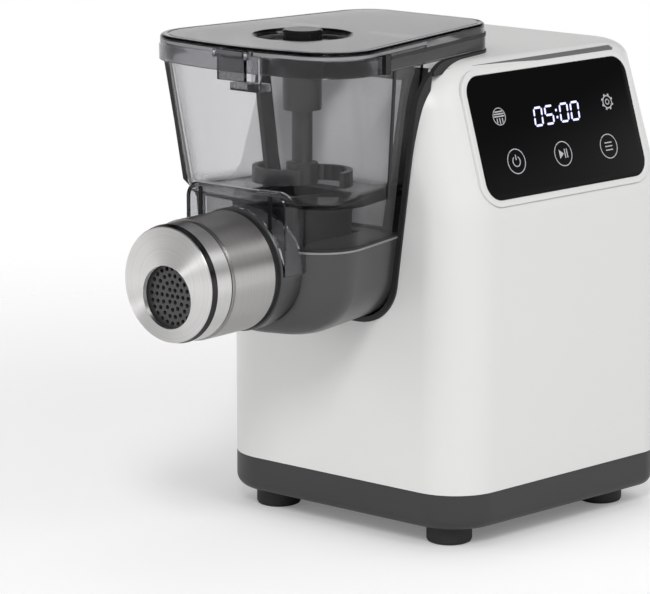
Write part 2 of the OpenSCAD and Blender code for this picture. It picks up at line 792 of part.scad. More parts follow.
chute_w = 40;
chute_rear = front_y - 14;
chute_front = neck_y + 6;

module chute_block(z0, z1, gap) {
    translate([-chute_w / 2 - gap, chute_front - gap, z0])
        cube([chute_w + 2 * gap, chute_rear - chute_front + 2 * gap, z1 - z0]);
}

module feed_chute() {
    in_frame([0.16, 0.16, 0.17]) difference() {
        chute_block(seam_z + touch, floor_z - hopper_wall - touch, 2);
        chute_block(seam_z - 5, floor_z + 5, 0);
        along_barrel(coupling_y) cylinder(h = 200, r = bore_r);
    }
}

function chamber_ring(z, d = 0) = hopper_ring(z, chamber_front(z), d, hopper_rear, max(z, seam_z));

module hopper() {
    neck_top = floor_z - 2;
    in_frame([0.62, 0.61, 0.64, 0.4]) difference() {
        loft([hopper_ring(floor_z - hopper_wall, neck_y, hopper_wall, hopper_rear, neck_top),
            hopper_ring(seam_z, neck_y, hopper_wall),
            hopper_ring(seam_z, neck_y, 0), hopper_ring(neck_top, neck_y, 0, hopper_rear, neck_top),
            hopper_ring(floor_z, floor_y, 0, hopper_rear, floor_z),
            chamber_ring(shoulder_z), chamber_ring(hopper_top),
            chamber_ring(hopper_top, hopper_wall), chamber_ring(shoulder_z + 1, hopper_wall),
            chamber_ring(floor_z, hopper_wall + 4)]);
        chute_block(floor_z - 10, floor_z + 10, 0);
        arm_gap();
        collar_seat();
    }
}

// Gap in the hopper's rear wall where the belt's cover passes
module arm_gap() {
    translate([-cover_r - 1.5, hopper_rear - 12, cover_low - 2]) cube([2 * cover_r + 3, 20, 40]);
}

module guard_2d(d) {
    h = guard_half - d;
    low = axis_z;
    polygon(concat([[-h, low], [h, low]],
        corner_arc([h, low], [h, guard_top - d], [-h, guard_top - d], 7 - d, 5),
        corner_arc([h, guard_top - d], [-h, guard_top - d], [-h, low], 7 - d, 5)));
}

guard_front = axis_front - guard_reach;

module barrel_guard() {
    in_frame([0.5, 0.5, 0.53, 0.5]) difference() {
        translate([0, axis_front + 8, 0]) rotate([90, 0, 0]) linear_extrude(guard_reach + 8) guard_2d(0);
        translate([0, axis_front + 9, 0]) rotate([90, 0, 0]) linear_extrude(guard_reach + 9 - guard_wall)
            guard_2d(guard_wall);
        along_barrel(axis_front + 20) cylinder(h = 60, r = sleeve_r + 1 + fit);
        loft([hopper_ring(seam_z - 60, neck_y, -fit, hopper_rear, seam_z - 10),
            hopper_ring(floor_z - 2, neck_y, -fit, hopper_rear, floor_z),
            hopper_ring(floor_z, floor_y, -fit, hopper_rear, floor_z),
            hopper_ring(shoulder_z, chamber_y, -fit), hopper_ring(shoulder_z + 30, chamber_y - 3, -fit)]);
    }
}

// Round seat for the collar's flange in the front of the lower housing and the neck
module collar_seat() {
    along_barrel(axis_front + flange_l) cylinder(h = 60, r = sleeve_r + fit);
}

flange_l = 7;

module barrel_collar() {
    r = sleeve_r + 1;
    in_frame([0.33, 0.33, 0.34]) along_barrel(axis_front - touch) rotate_extrude($fn = 96)
        polygon([[bore_r, -flange_l + touch], [sleeve_r, -flange_l + touch], [sleeve_r, 0], [r, 0],
            [r, collar_l - 0.8], [r - 0.8, collar_l - touch], [bore_r, collar_l - touch]]);
}

module collar_ring() {
    in_frame([0.03, 0.03, 0.03]) tube_y(collar_y, ring_w - touch, sleeve_r - 1.2, bore_r);
}

module barrel_sleeve() {
    in_frame([0.78, 0.77, 0.76]) along_barrel(sleeve_y) rotate_extrude($fn = 96)
        polygon([[bore_r, 0], [sleeve_r - 0.8, 0], [sleeve_r, 0.8], [sleeve_r, sleeve_l - 1.2 - touch],
            [sleeve_r - 1, sleeve_l - 1.2 - touch], [sleeve_r - 1, sleeve_l - touch],
            [thread_r, sleeve_l - touch], [thread_r, sleeve_l + thread_l], [bore_r, sleeve_l + thread_l]]);
}

thread_r = 29;
thread_l = 8;

module cap_seal() {
    in_frame([0.05, 0.05, 0.05]) tube_y(cap_y, 1 - touch, cap_r - 0.6, thread_r + touch);
}

die_r = bore_r + 4;
die_y = cap_y - thread_l - touch;
cap_face = 3.6;

module end_cap() {
    inner = cap_l - cap_face;
    edge = cap_l - 1 - cap_dish;
    in_frame([0.8, 0.79, 0.78]) along_barrel(cap_y - 1) difference() {
        rotate_extrude($fn = 96) polygon([[0, inner - 1.4], [thread_r + 0.1, inner - 1.4], [thread_r + 0.1, 0],
            [cap_r, 0], [cap_r, edge - cap_taper_l], [cap_flat_r, edge - 0.4],
            [cap_flat_r - 0.4, edge], [0, cap_l - 1]]);
        translate([0, -outlet_drop, 0]) cylinder(h = cap_l + 5, r = outlet_r);
    }
}

module die_disc() {
    rows = 4;
    in_frame([0.32, 0.32, 0.33]) along_barrel(die_y) difference() {
        cylinder(h = die_t, r = die_r);
        translate([0, -outlet_drop, 0]) {
            translate([0, 0, -1]) cylinder(h = die_t + 2, r = die_hole_r, $fn = 16);
            for (k = [1:rows]) for (i = [0:6 * k - 1]) if (k * 3.9 + die_hole_r < outlet_r - 0.5)
                rotate(i * 60 / k) translate([k * 3.9, 0, -1]) cylinder(h = die_t + 2, r = die_hole_r, $fn = 16);
        }
    }
}

auger_r = bore_r - auger_clearance;
auger_core = 9;
auger_back = coupling_y - 1;
auger_front = cap_y + 1.5;

// One section of the flight, turned by a about the axis and moved y along it
function flight_at(a, y) = [for (q = [[auger_core - 2, -2.2], [auger_r, -0.9], [auger_r, 0.9], [auger_core - 2, 2.2]])
    [q[0] * cos(a), y + q[1], q[0] * sin(a)]];

module auger() {
    length = auger_back - auger_front - 6;
    turns = length / auger_pitch;
    steps = ceil(turns * 18);
    in_frame([0.2, 0.2, 0.21]) union() {
        translate([0, 0, axis_z]) loft([for (k = [0:steps])
            flight_at(360 * turns * k / steps, auger_front + 3 + length * k / steps)]);
        along_barrel(auger_back) difference() {
            cylinder(h = auger_back - auger_front, r = auger_core);
            translate([-coupling_side / 2 - 0.1, -coupling_side / 2 - 0.1, -1])
                cube([coupling_side + 0.2, coupling_side + 0.2, coupling_l + 2]);
        }
    }
}

// ---- lid pieces ----

lid_gap = 0.5;
lid_rear = front_y + lid_reach;

// Ring of the lid: the hopper's outline moved out by d, carried back to the lid's rear
function lid_outline(d) =
    let (yf = chamber_front(hopper_top) - d, slope = tan(hopper_taper))
    let (wide = d / cos(hopper_taper) + rim_half(hopper_top) - hopper_in)
    let (side_y = front_y - rim_proud)
    let (hf = wide + (side_y - yf) * slope, hr = wide + (side_y - lid_rear) * slope)
    rounded([[0, yf - front_bow], [hf, yf], [hr, lid_rear], [-hr, lid_rear], [-hf, yf]],
        [bow_r(hf), hopper_corner_r + d, 24, 24, hopper_corner_r + d]);

lid_out = lid_gap + hopper_wall;
rear_low = tower_top + rim_proud + touch;

// Lower edge of the skirt: level at the front, lower over the tower's top
function skirt_z(y) = y < front_y ? skirt_low : y > front_y + 12 ? rear_low
    : skirt_low + (rear_low - skirt_low) * (y - front_y) / 12;

// The lid's outer shell, moved out by d, as one solid
module lid_body(d) {
    outer = lid_outline(lid_out + d);
    loft([ring(outer, skirt_low - 1), ring(outer, lid_top - 6 + d)]);
}

module lid() {
    plate_low = lid_top - lid_t;
    inner = [for (q = lid_outline(lid_gap)) [q[0], min(q[1], lid_rear - hopper_wall)]];
    outer = lid_outline(lid_out);
    groove = lid_outline(lid_out - 0.6);
    in_frame([0.55, 0.54, 0.56, 0.7]) difference() {
        union() {
            loft([ring(inner, plate_low), [for (q = inner) [q[0], q[1], skirt_z(q[1])]],
                [for (q = outer) [q[0], q[1], skirt_z(q[1])]], ring(outer, lid_top - 6),
                ring(groove, lid_top - 5.4), ring(groove, lid_top - 1.2), ring(lid_outline(lid_out - 2), lid_top)]);
            translate([0, mixer_y, cover_top + touch]) cylinder(h = lid_t + 1, r = well_r + 2);
        }
        translate([0, mixer_y, lid_top - well_depth]) cylinder(h = 20, r1 = well_r - 2, r2 = well_r + 10);
        translate([0, mixer_y, cover_top - 5]) cylinder(h = 20, r = mixer_shaft_r + run_fit);
    }
}

module lid_seal() {
    top = lid_top - lid_t;
    in_frame([0.85, 0.85, 0.85]) difference() {
        translate([0, 0, hopper_top + touch]) linear_extrude(top - hopper_top - 2 * touch)
            polygon([for (q = chamber_ring(hopper_top, 0.2)) [q[0], q[1]]]);
        translate([0, 0, hopper_top - 1]) linear_extrude(10)
            polygon([for (q = chamber_ring(hopper_top, hopper_wall)) [q[0], q[1]]]);
        arm_gap();
    }
}

// Long round-ended plan of the belt's cover
module arm_2d(r) {
    translate([0, mixer_y]) circle(r = r);
    translate([0, dog_y]) circle(r = r);
    translate([-r, mixer_y]) square([2 * r, dog_y - mixer_y]);
}

module drive_cover() {
    in_frame([0.2, 0.2, 0.21]) difference() {
        translate([0, 0, cover_low + cover_wall]) linear_extrude(cover_top - cover_low - cover_wall) arm_2d(cover_r);
        translate([0, 0, cover_low]) linear_extrude(cover_top - cover_low - cover_wall) arm_2d(cover_r - cover_wall);
        translate([0, mixer_y, cover_low]) cylinder(h = 30, r = mixer_shaft_r + run_fit);
    }
}

module cover_floor() {
    in_frame([0.2, 0.2, 0.21]) difference() {
        union() {
            translate([0, 0, cover_low]) linear_extrude(cover_wall - touch) arm_2d(cover_r);
            translate([0, mixer_y, mixer_collar_low]) cylinder(h = cover_low - mixer_collar_low + 0.5, r = mixer_collar_r);
        }
        translate([0, mixer_y, mixer_collar_low - 1]) cylinder(h = 80, r = mixer_shaft_r + run_fit);
        translate([0, dog_y, cover_low - 1]) cylinder(h = 10, r = dog_hole_r);
    }
}

module dog_pulley() {
    gap = 0.2;
    in_frame([0.8, 0.8, 0.82]) translate([0, dog_y, pulley_z]) difference() {
        cylinder(h = pulley_w, r = pulley_r);
        translate([-dog_side / 2 - gap, -dog_side / 2 - gap, -1]) cube([dog_side + 2 * gap, dog_side + 2 * gap, 4.4]);
    }
}

module mixer_pulley() {
    in_frame([0.8, 0.8, 0.82]) translate([0, mixer_y, pulley_z]) difference() {
        cylinder(h = pulley_w, r = pulley_r);
        translate([0, 0, -1]) cylinder(h = pulley_w + 2, r = mixer_shaft_r + 0.001);
    }
}

module drive_belt() {
    in_frame([0.06, 0.06, 0.06]) translate([0, 0, pulley_z + 0.4]) linear_extrude(pulley_w - 0.8) difference() {
        arm_2d(pulley_r + run_fit + belt_t);
        arm_2d(pulley_r + run_fit);
    }
}

module mixing_shaft() {
    in_frame([0.35, 0.35, 0.36]) translate([0, mixer_y, paddle_z])
        cylinder(h = lid_top - well_depth + 1 - paddle_z, r = mixer_shaft_r);
}

hub_r = 11.4;
hub_h = 6.5;

module lid_hub() {
    in_frame([0.05, 0.05, 0.05]) translate([0, mixer_y, lid_top - well_depth + touch]) rotate_extrude()
        polygon([[mixer_shaft_r + 0.001, 0], [hub_r, 0], [hub_r, hub_h - 0.8], [hub_r - 0.8, hub_h],
            [0, hub_h], [0, 1.05], [mixer_shaft_r + 0.001, 1.05]]);
}

// Curved strip between two radii, from angle a0 to a1
function arc_strip(r0, r1, a0, a1, n = 10) = concat(
    [for (k = [0:n]) r1 * [cos(a0 + (a1 - a0) * k / n), sin(a0 + (a1 - a0) * k / n)]],
    [for (k = [0:n]) r0 * [cos(a1 + (a0 - a1) * k / n), sin(a1 + (a0 - a1) * k / n)]]);

module mixing_paddle() {
    arc_r = paddle_r * 0.62;
    in_frame([0.4, 0.4, 0.41]) translate([0, mixer_y, paddle_z - 1]) difference() {
        union() {
            cylinder(h = paddle_h + 3, r = 9);
            for (s = [0, 180]) rotate(s) translate([paddle_r - arc_r, 0, 0]) linear_extrude(paddle_h)
                polygon(arc_strip(arc_r - 3.4, arc_r, -4, 172));
        }
        translate([0, 0, 1]) cylinder(h = 60, r = mixer_shaft_r + 0.001);
    }
}

latch_top = lid_top - 1.5;
lid_front = chamber_front(hopper_top) - lid_out - front_bow * 0.93;
latch_y = lid_front - 0.4;
pin_r = 1.1;
latch_t = 2.4;

module latch_knuckles(r, w) {
    translate([latch_x - w / 2, latch_y - latch_t, latch_top - 2]) rotate([0, 90, 0]) cylinder(h = w, r = r);
}

module lid_latch() {
    in_frame([0.45, 0.45, 0.47, 0.6]) difference() {
        union() {
            translate([latch_x - latch_w / 2, latch_y - latch_t - 0.8, latch_top - latch_h])
                cube([latch_w, latch_t, latch_h - 2]);
            latch_knuckles(2.4, latch_w);
        }
        latch_knuckles(pin_r + run_fit, latch_w + 2);
    }
}

module latch_pin() {
    in_frame([0.7, 0.7, 0.72]) latch_knuckles(pin_r, latch_w + 5);
}

// Two ears on the lid that hold the latch's pin
module latch_ears() {
    in_frame([0.55, 0.55, 0.58, 0.6]) difference() {
        for (s = [-1, 1]) translate([latch_x + s * (latch_w / 2 + 1.6) - 1.2, latch_y - latch_t - 1.6, latch_top - 4.4])
            cube([2.4, latch_t + 3, 4.4]);
        latch_knuckles(pin_r + 0.001, latch_w + 9);
        lid_body(touch);
    }
}

// Clear hook on the hopper: a foot under the latch and an upright beside it
module latch_catch() {
    x0 = latch_x - 1;
    x1 = latch_x + latch_w / 2 + 10;
    low = latch_top - latch_h - 5.2;
    in_frame([0.6, 0.6, 0.63, 0.5]) difference() {
        union() {
            translate([x0, latch_y - latch_t, low]) cube([x1 - x0, 14, 4.4]);
            translate([x1 - 5.4, latch_y - latch_t, low]) cube([5.4, latch_t, latch_h + 3]);
        }
        loft([chamber_ring(low - 2, -touch), chamber_ring(hopper_top, -touch)]);
    }
}

clip_ahead = 45;
clip_t = 2.4;
clip_w = 6;
clip_h = 11;

module lid_clips() {
    y = front_y - clip_ahead;
    z = skirt_low - 0.1;
    half = hopper_half(y, hopper_top) + lid_out;
    in_frame([0.04, 0.04, 0.04]) for (s = [-1, 1])
        translate([s * (half + clip_t / 2 + 0.4), y, z]) rotate([0, 0, s * hopper_taper]) translate([-clip_t / 2, -clip_w / 2, 0]) cube([clip_t, clip_w, clip_h]);
}

housing();
base_tray();
feet();
base_screws();
control_bezel();
panel_glass();
display_module();
control_board();
rear_vent();
power_inlet();
motor_can();
motor_rotor();
cooling_fan();
motor_pinion();
motor_saddle();
gearbox_case();
gearbox_cover();
drive_gear();
drive_shaft();
shaft_bearings();
shaft_seal();
mixer_motor();
mixer_dog();
hopper_rim();
lower_housing();
feed_chute();
hopper();
barrel_guard();
barrel_collar();
collar_ring();
barrel_sleeve();
cap_seal();
end_cap();
die_disc();
auger();
lid();
lid_seal();
drive_cover();
cover_floor();
dog_pulley();
mixer_pulley();
drive_belt();
lid_hub();
mixing_shaft();
mixing_paddle();
lid_latch();
latch_pin();
latch_ears();
latch_catch();
lid_clips();
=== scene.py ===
# Looks of the electric pasta maker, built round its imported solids.
import json
import math

import bpy
import bmesh
from mathutils import Matrix, Vector

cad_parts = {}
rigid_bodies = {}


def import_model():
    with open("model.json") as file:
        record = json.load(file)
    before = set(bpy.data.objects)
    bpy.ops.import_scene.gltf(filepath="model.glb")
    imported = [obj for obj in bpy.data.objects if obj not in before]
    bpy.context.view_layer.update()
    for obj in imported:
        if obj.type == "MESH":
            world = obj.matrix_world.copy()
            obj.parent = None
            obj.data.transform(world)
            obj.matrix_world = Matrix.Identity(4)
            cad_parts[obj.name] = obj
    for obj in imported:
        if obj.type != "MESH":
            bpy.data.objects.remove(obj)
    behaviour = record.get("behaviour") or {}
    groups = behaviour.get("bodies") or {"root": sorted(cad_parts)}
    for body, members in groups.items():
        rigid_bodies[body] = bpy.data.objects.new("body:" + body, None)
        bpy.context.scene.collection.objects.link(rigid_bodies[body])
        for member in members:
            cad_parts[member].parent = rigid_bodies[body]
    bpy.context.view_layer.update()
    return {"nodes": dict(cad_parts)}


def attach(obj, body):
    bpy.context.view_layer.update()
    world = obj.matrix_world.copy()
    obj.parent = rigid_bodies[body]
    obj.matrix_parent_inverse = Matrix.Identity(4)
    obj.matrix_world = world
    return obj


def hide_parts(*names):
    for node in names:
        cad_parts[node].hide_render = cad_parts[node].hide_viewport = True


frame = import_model()

MM = 0.001

# ---------------------------------------------------------------- driving sizes, in millimetres
TOWER_W = 185.0
TOWER_D = 182.0
FLARE = math.radians(6)
CORNER_R = 32.0
BACK_R = 18.0
TOWER_TOP = 283.0
LEAN_START = 200.0
LEAN = math.radians(17.6)
TOP_R = 9.0
FRONT_R = 26.0
WALL = 3.2
FOOT_H = 11.6
BASE_TOP = 33.5
BASE_R = 7.0
GLASS_L = 137.6
GLASS_H = 73.0
GLASS_FRONT = 24.5
GLASS_BEND = 5.5
GLASS_CORNER = 11.0
GLASS_T = 1.4
BEZEL_MARGIN = 4.0
BEZEL_PROUD = 1.2
BEZEL_SEAT = 1.6
AXIS_Z = 172.0
BEND = 6.0                   # half length of the soft bend where the lean starts
FIT = 0.3
VENT_W, VENT_H, VENT_Z = 96.0, 60.0, 130.0
INLET_W, INLET_H, INLET_Z = 31.0, 24.0, 62.0
FOOT_INSET, FOOT_R = 25.0, 13.5
FRONT_Y = -TOWER_D / 2
BACK_Y = TOWER_D / 2
POCKET_Y = FRONT_Y + 10
INNER_FRONT = 10 + WALL
RIM_LOW_HALF, RIM_TOP_HALF = 47.0, 64.0
RIM_BOTTOM, RIM_R, RIM_W, RIM_PROUD = 129.5, 28.0, 3.2, 1.6
HOPPER_IN = RIM_W + FIT
TAPER = math.radians(9.5)
FRONT_BOW, FRONT_DRAFT = 10.0, 7.0
HOPPER_R, HOPPER_WALL = 30.0, 2.6
HOPPER_REAR = POCKET_Y - FIT
SEAM_Z, FLOOR_Z, SHOULDER_Z = 184.0, 211.0, 215.0
NECK_Y = FRONT_Y - 68.5
SHOULDER_STEP = 8.0
CHAMBER_Y = NECK_Y - SHOULDER_STEP
LOWER_BOTTOM = RIM_BOTTOM + HOPPER_IN
LID_TOP, LID_T, LID_GAP = 300.0, 2.5, 0.5
HOPPER_TOP, SKIRT_LOW, REAR_LOW = 295.4, 285.6, TOWER_TOP + 1.65
LID_REAR = FRONT_Y + 87
WELL_R, WELL_DEPTH = 29.0, 3.5
COVER_TOP = LID_TOP - WELL_DEPTH - LID_T
LID_OUT = LID_GAP + HOPPER_WALL   # from the hopper's wall out to the lid's skirt
ARM_HALF = 18.5              # half width of the gap for the lid's rear arm
MIXER_Y, DOG_Y = FRONT_Y - 30, FRONT_Y + 66
AXIS_FRONT = FRONT_Y - 78.5
FLANGE_L, SLEEVE_R, BORE_R = 7.0, 34.5, 24.0
SHAFT_HOLE_R, SHAFT_WAY_R, DOG_HOLE_R, LID_HOLE_R = 13.05, 9, 9, 5.9
CAP_EDGE_Y, CAP_R = AXIS_FRONT - 67.2, 33.5
CORNER_TURN = math.radians(40)
GUARD_HALF, GUARD_TOP, GUARD_WALL, GUARD_R = 37.5, 219.0, 2.2, 9
GUARD_FRONT, BARREL_WAY_R = AXIS_FRONT - 10.5, SLEEVE_R + 1 + FIT
GROOVE_L, GROOVE_W = 118.3, 3.8
GROOVE_TURN = math.radians(-32)
CHUTE_HALF, CHUTE_FRONT, CHUTE_REAR = 20, NECK_Y + 6, FRONT_Y - 14   # the way down from hopper to auger
STRIP_Y, STRIP_SLANT = -117.5, 0.12   # the wall strip's place under the skirt, and its lean per mm of height
UPRIGHT_MID = 250            # middle height of the wall strip and of the painted shade strip on the hopper's corner
BAND_START = -128.0          # front end of the lid's band and panel
RIM_BAR_Z, BORDER_FROM, BORDER_W = 273, 18, 19
RIB_X, RIB_HALF = 26.0, 1.1
# how far the seam's black line and the painted highlight band under it stand out
SEAM_PROUD, HIGHLIGHT_PROUD = 0.35, 0.5
MARK_LOW, MARK_TOP = 1.05, 1.17   # the marks' underside and face, out of the leaning side
FINE, THICK = 0.65, 0.75     # widths of the icons' strokes
KEY_R = 7.2
KEY_POWER, KEY_PLAY, KEY_MENU = (53.0, 26.2), (93.0, 26.0), (133.0, 25.8)
ICON_BOWL, ICON_GEAR = (46.7, 53.4), (139.9, 52.0)
CLOCK = (75.2, 44.6)
DIGIT_W, DIGIT_H, DIGIT_BAR, DIGIT_STEP, COLON_W = 6.4, 10.4, 1.3, 9.4, 3.4
CENTRE_Y = 73.58             # moves the tower's middle to its place behind the part's middle
CAMERA_PLACE = (1288.0, -1636.0, 569.0)
CAMERA_LENS = 193.85
CAMERA_AZIMUTH = math.radians(40)
CAMERA_DROP = math.radians(12)
LAMP_AIM = (0, 0, 0.15)      # in metres
AMBIENT = 0.5                # the world's light on the object
FLOOR_HALF = 6.0             # in metres
METAL_TINT = 0.35            # how far streaks lighten and darken metal
SHARP, SHELL_SHARP, PANEL_SHARP = 32, 40, 50   # angles in degrees above which an edge stays sharp
ROUND = 96                   # steps round a bore
BORE_REACH = 60


def place(x, y, z):
    """A point of the tower's own frame, in metres of the part's frame."""
    return Vector((x * MM, (y + CENTRE_Y) * MM, z * MM))


# ---------------------------------------------------------------- nodes, camera, lights and floor
def add(tree, kind, inputs=None, **settings):
    """A new node with its settings. Each input is wired to a socket or given a value."""
    node = tree.nodes.new("ShaderNode" + kind)
    for name, value in settings.items():
        setattr(node, name, value)
    for label, value in (inputs or {}).items():
        if isinstance(value, bpy.types.NodeSocket):
            tree.links.new(value, node.inputs[label])
        else:
            node.inputs[label].default_value = value
    return node


def make_camera():
    data = bpy.data.cameras.new("camera")
    data.sensor_width = 36.0
    data.lens = CAMERA_LENS
    data.clip_end = 20.0
    camera = bpy.data.objects.new("camera", data)
    bpy.context.scene.collection.objects.link(camera)
    camera.location = place(*CAMERA_PLACE)
    a, e = CAMERA_AZIMUTH, CAMERA_DROP
    look = Vector((-math.sin(a) * math.cos(e), math.cos(a) * math.cos(e), -math.sin(e)))
    camera.rotation_euler = look.to_track_quat("-Z", "Y").to_euler()
    bpy.context.scene.camera = camera


def area_light(name, at, size, power, aim=LAMP_AIM, mirrored=True):
    """Soft lamp, in metres and watts. One that isn't mirrored leaves no highlight."""
    data = bpy.data.lights.new(name, "AREA")
    data.shape = "RECTANGLE"
    data.size, data.size_y = size
    data.energy = power
    lamp = bpy.data.objects.new(name, data)
    bpy.context.scene.collection.objects.link(lamp)
    lamp.location = at
    lamp.visible_glossy = mirrored
    lamp.rotation_euler = (Vector(aim) - Vector(at)).to_track_quat("-Z", "Y").to_euler()


def make_studio():
    """Four lamps, and a world that is white behind the object and shaded in its reflections."""
    area_light("key", (1.3, -1.7, 1.7), (0.4, 0.7), 23)
    area_light("side", (1.9, -0.3, 1.5), (1.0, 1.0), 9)
    area_light("fill", (-1.5, -1.7, 0.9), (1.5, 1.2), 9, mirrored=False)
    area_light("top", (0.1, 0.4, 2.0), (1.6, 1.2), 3, aim=(0, 0, 0.1))
    world = bpy.data.worlds.new("studio")
    bpy.context.scene.world = world
    world.use_nodes = True
    tree = world.node_tree
    rays = add(tree, "LightPath").outputs
    seen = add(tree, "Math", {0: rays["Is Camera Ray"], 1: rays["Is Transmission Ray"]}, operation="MAXIMUM")
    height = add(tree, "SeparateXYZ", {0: add(tree, "TexCoord").outputs["Generated"]}).outputs["Z"]
    sky = add(tree, "MapRange", {"Value": height, "From Min": 0.05, "From Max": 0.35, "To Min": 1.1, "To Max": 0.03},
        interpolation_type="SMOOTHSTEP")
    light = add(tree, "Mix", {"Factor": rays["Is Glossy Ray"], "A": AMBIENT, "B": sky.outputs["Result"]})
    strength = add(tree, "Math", {0: seen.outputs[0], 1: light.outputs["Result"]}, operation="MAXIMUM")
    back = tree.nodes["Background"]
    back.inputs["Color"].default_value = (1, 1, 1, 1)
    tree.links.new(strength.outputs[0], back.inputs["Strength"])


def make_floor(material):
    mesh = bpy.data.meshes.new("floor")
    s = FLOOR_HALF
    mesh.from_pydata([(-s, -s, 0), (s, -s, 0), (s, s, 0), (-s, s, 0)], [], [(0, 1, 2, 3)])
    floor = bpy.data.objects.new("floor", mesh)
    bpy.context.scene.collection.objects.link(floor)
    floor.data.materials.append(material)


# ---------------------------------------------------------------- shader effects used by several finishes
def new_group(name, inputs):
    """Shader group with the given inputs. It puts out a surface's colour, roughness and height."""
    group = bpy.data.node_groups.new(name, "ShaderNodeTree")
    for label, value in inputs.items():
        kind = "NodeSocketColor" if isinstance(value, tuple) else "NodeSocketFloat"
        socket = group.interface.new_socket(label, in_out="INPUT", socket_type=kind)
        socket.default_value = value
    for label, kind in (("Color", "Color"), ("Roughness", "Float"), ("Height", "Float")):
        group.interface.new_socket(label, in_out="OUTPUT", socket_type="NodeSocket" + kind)
    return group, group.nodes.new("NodeGroupInput").outputs, group.nodes.new("NodeGroupOutput").inputs


def vary(group, given, out, pattern, tint, height):
    """Varies the group's colour and roughness with a pattern, either side of its middle."""
    centred = add(group, "Math", {0: pattern, 1: 0.5}, operation="SUBTRACT").outputs[0]
    rough = add(group, "Math", {0: centred, 1: given["Spread"], 2: given["Roughness"]}, operation="MULTIPLY_ADD")
    shade = add(group, "Math", {0: centred, 1: tint, 2: 1.0}, operation="MULTIPLY_ADD")
    tinted = add(group, "VectorMath", {0: given["Color"], "Scale": shade.outputs[0]}, operation="SCALE")
    group.links.new(tinted.outputs[0], out["Color"])
    group.links.new(rough.outputs[0], out["Roughness"])
    group.links.new(height, out["Height"])


def moulded_grain_group():
    """Fine grain of a moulded or painted surface, with a broad mottle in its colour and roughness."""
    group, given, out = new_group("moulded_grain",
        {"Color": (0.5, 0.5, 0.5, 1), "Scale": 900.0, "Roughness": 0.4, "Spread": 0.05, "Tint": 0.03})
    where = add(group, "TexCoord").outputs["Object"]
    fine = add(group, "TexNoise", {"Vector": where, "Scale": given["Scale"], "Detail": 3})
    broad = add(group, "TexNoise", {"Vector": where, "Scale": 9})
    vary(group, given, out, broad.outputs["Fac"], given["Tint"], fine.outputs["Fac"])
    return group


def turned_group():
    """Fine rings of metal turned about the barrel's axis."""
    group, given, out = new_group("turned_metal",
        {"Color": (0.6, 0.6, 0.6, 1), "Scale": 900.0, "Roughness": 0.4, "Spread": 0.1})
    parts = add(group, "SeparateXYZ", {0: add(group, "TexCoord").outputs["Object"]}).outputs
    up = add(group, "Math", {0: parts["Z"], 1: AXIS_Z * MM}, operation="SUBTRACT")
    across = add(group, "CombineXYZ", {"X": parts["X"], "Y": up.outputs[0]})
    radius = add(group, "VectorMath", {0: across.outputs[0]}, operation="LENGTH")
    rings = add(group, "CombineXYZ", {"X": radius.outputs["Value"], "Y": parts["Y"]})
    streak = add(group, "TexNoise", {"Vector": rings.outputs[0], "Scale": given["Scale"], "Detail": 4})
    vary(group, given, out, streak.outputs["Fac"], METAL_TINT, streak.outputs["Fac"])
    return group


def brushed_group():
    """Streaks of brushed metal, drawn out along X, Y or Z by the stretch."""
    group, given, out = new_group("brushed_metal",
        {"Color": (0.6, 0.6, 0.6, 1), "Along X": 1.0, "Along Y": 1.0, "Along Z": 1.0, "Scale": 120.0,
            "Roughness": 0.25, "Spread": 0.12})
    stretch = add(group, "CombineXYZ", {axis: given["Along " + axis] for axis in "XYZ"})
    squeeze = add(group, "VectorMath", {0: add(group, "TexCoord").outputs["Object"], 1: stretch.outputs[0]},
        operation="MULTIPLY")
    streak = add(group, "TexNoise", {"Vector": squeeze.outputs[0], "Scale": given["Scale"], "Detail": 5})
    vary(group, given, out, streak.outputs["Fac"], METAL_TINT, streak.outputs["Fac"])
    return group


GRAIN = moulded_grain_group()
BRUSHED = brushed_group()
TURNED = turned_group()


# ---------------------------------------------------------------- finishes
def base_material(name):
    material = bpy.data.materials.new(name)
    material.use_nodes = True
    return material, material.node_tree, material.node_tree.nodes["Principled BSDF"]


def give(shader, **values):
    """Sets the shader's own sockets, which are named with _ for a space."""
    for label, value in values.items():
        shader.inputs[label.replace("_", " ")].default_value = value


def effect(tree, shader, group, bump, distance=0.0004, **values):
    """Places a shader group with its own values and wires it to the shader."""
    node = add(tree, "Group", node_tree=group)
    give(node, **values)
    relief = add(tree, "Bump", {"Strength": bump, "Distance": distance, "Height": node.outputs["Height"]})
    tree.links.new(node.outputs["Color"], shader.inputs["Base Color"])
    tree.links.new(node.outputs["Roughness"], shader.inputs["Roughness"])
    tree.links.new(relief.outputs["Normal"], shader.inputs["Normal"])
    return node


def moulded(name, color, roughness, scale=900.0, bump=0.03, coat=0.0, spread=0.06, tint=0.03, specular=0.5):
    """Moulded plastic, paint or rubber."""
    material, tree, shader = base_material(name)
    effect(tree, shader, GRAIN, bump, Color=(*color, 1), Scale=scale, Roughness=roughness, Spread=spread, Tint=tint)
    give(shader, Coat_Weight=coat, Coat_Roughness=0.35, Specular_IOR_Level=specular)
    return material


def metal(name, color, roughness, along=(1.0, 1.0, 1.0)):
    """Brushed metal, whose streaks are long where along is small."""
    material, tree, shader = base_material(name)
    effect(tree, shader, BRUSHED, 0.05, 0.0002, Color=(*color, 1), Along_X=along[0], Along_Y=along[1],
        Along_Z=along[2], Scale=120.0, Roughness=roughness, Spread=0.12)
    give(shader, Metallic=1.0)
    return material


def turned(name, color, roughness, scale=900.0):
    """Steel turned in a lathe, whose highlights spread across its fine rings."""
    material, tree, shader = base_material(name)
    effect(tree, shader, TURNED, 0.03, 0.0001, Color=(*color, 1), Scale=scale, Roughness=roughness, Spread=0.1)
    give(shader, Metallic=1.0, Anisotropic=0.95, Anisotropic_Rotation=0.25)
    rings = add(tree, "Tangent", direction_type="RADIAL", axis="Y")
    tree.links.new(rings.outputs[0], shader.inputs["Tangent"])
    return material


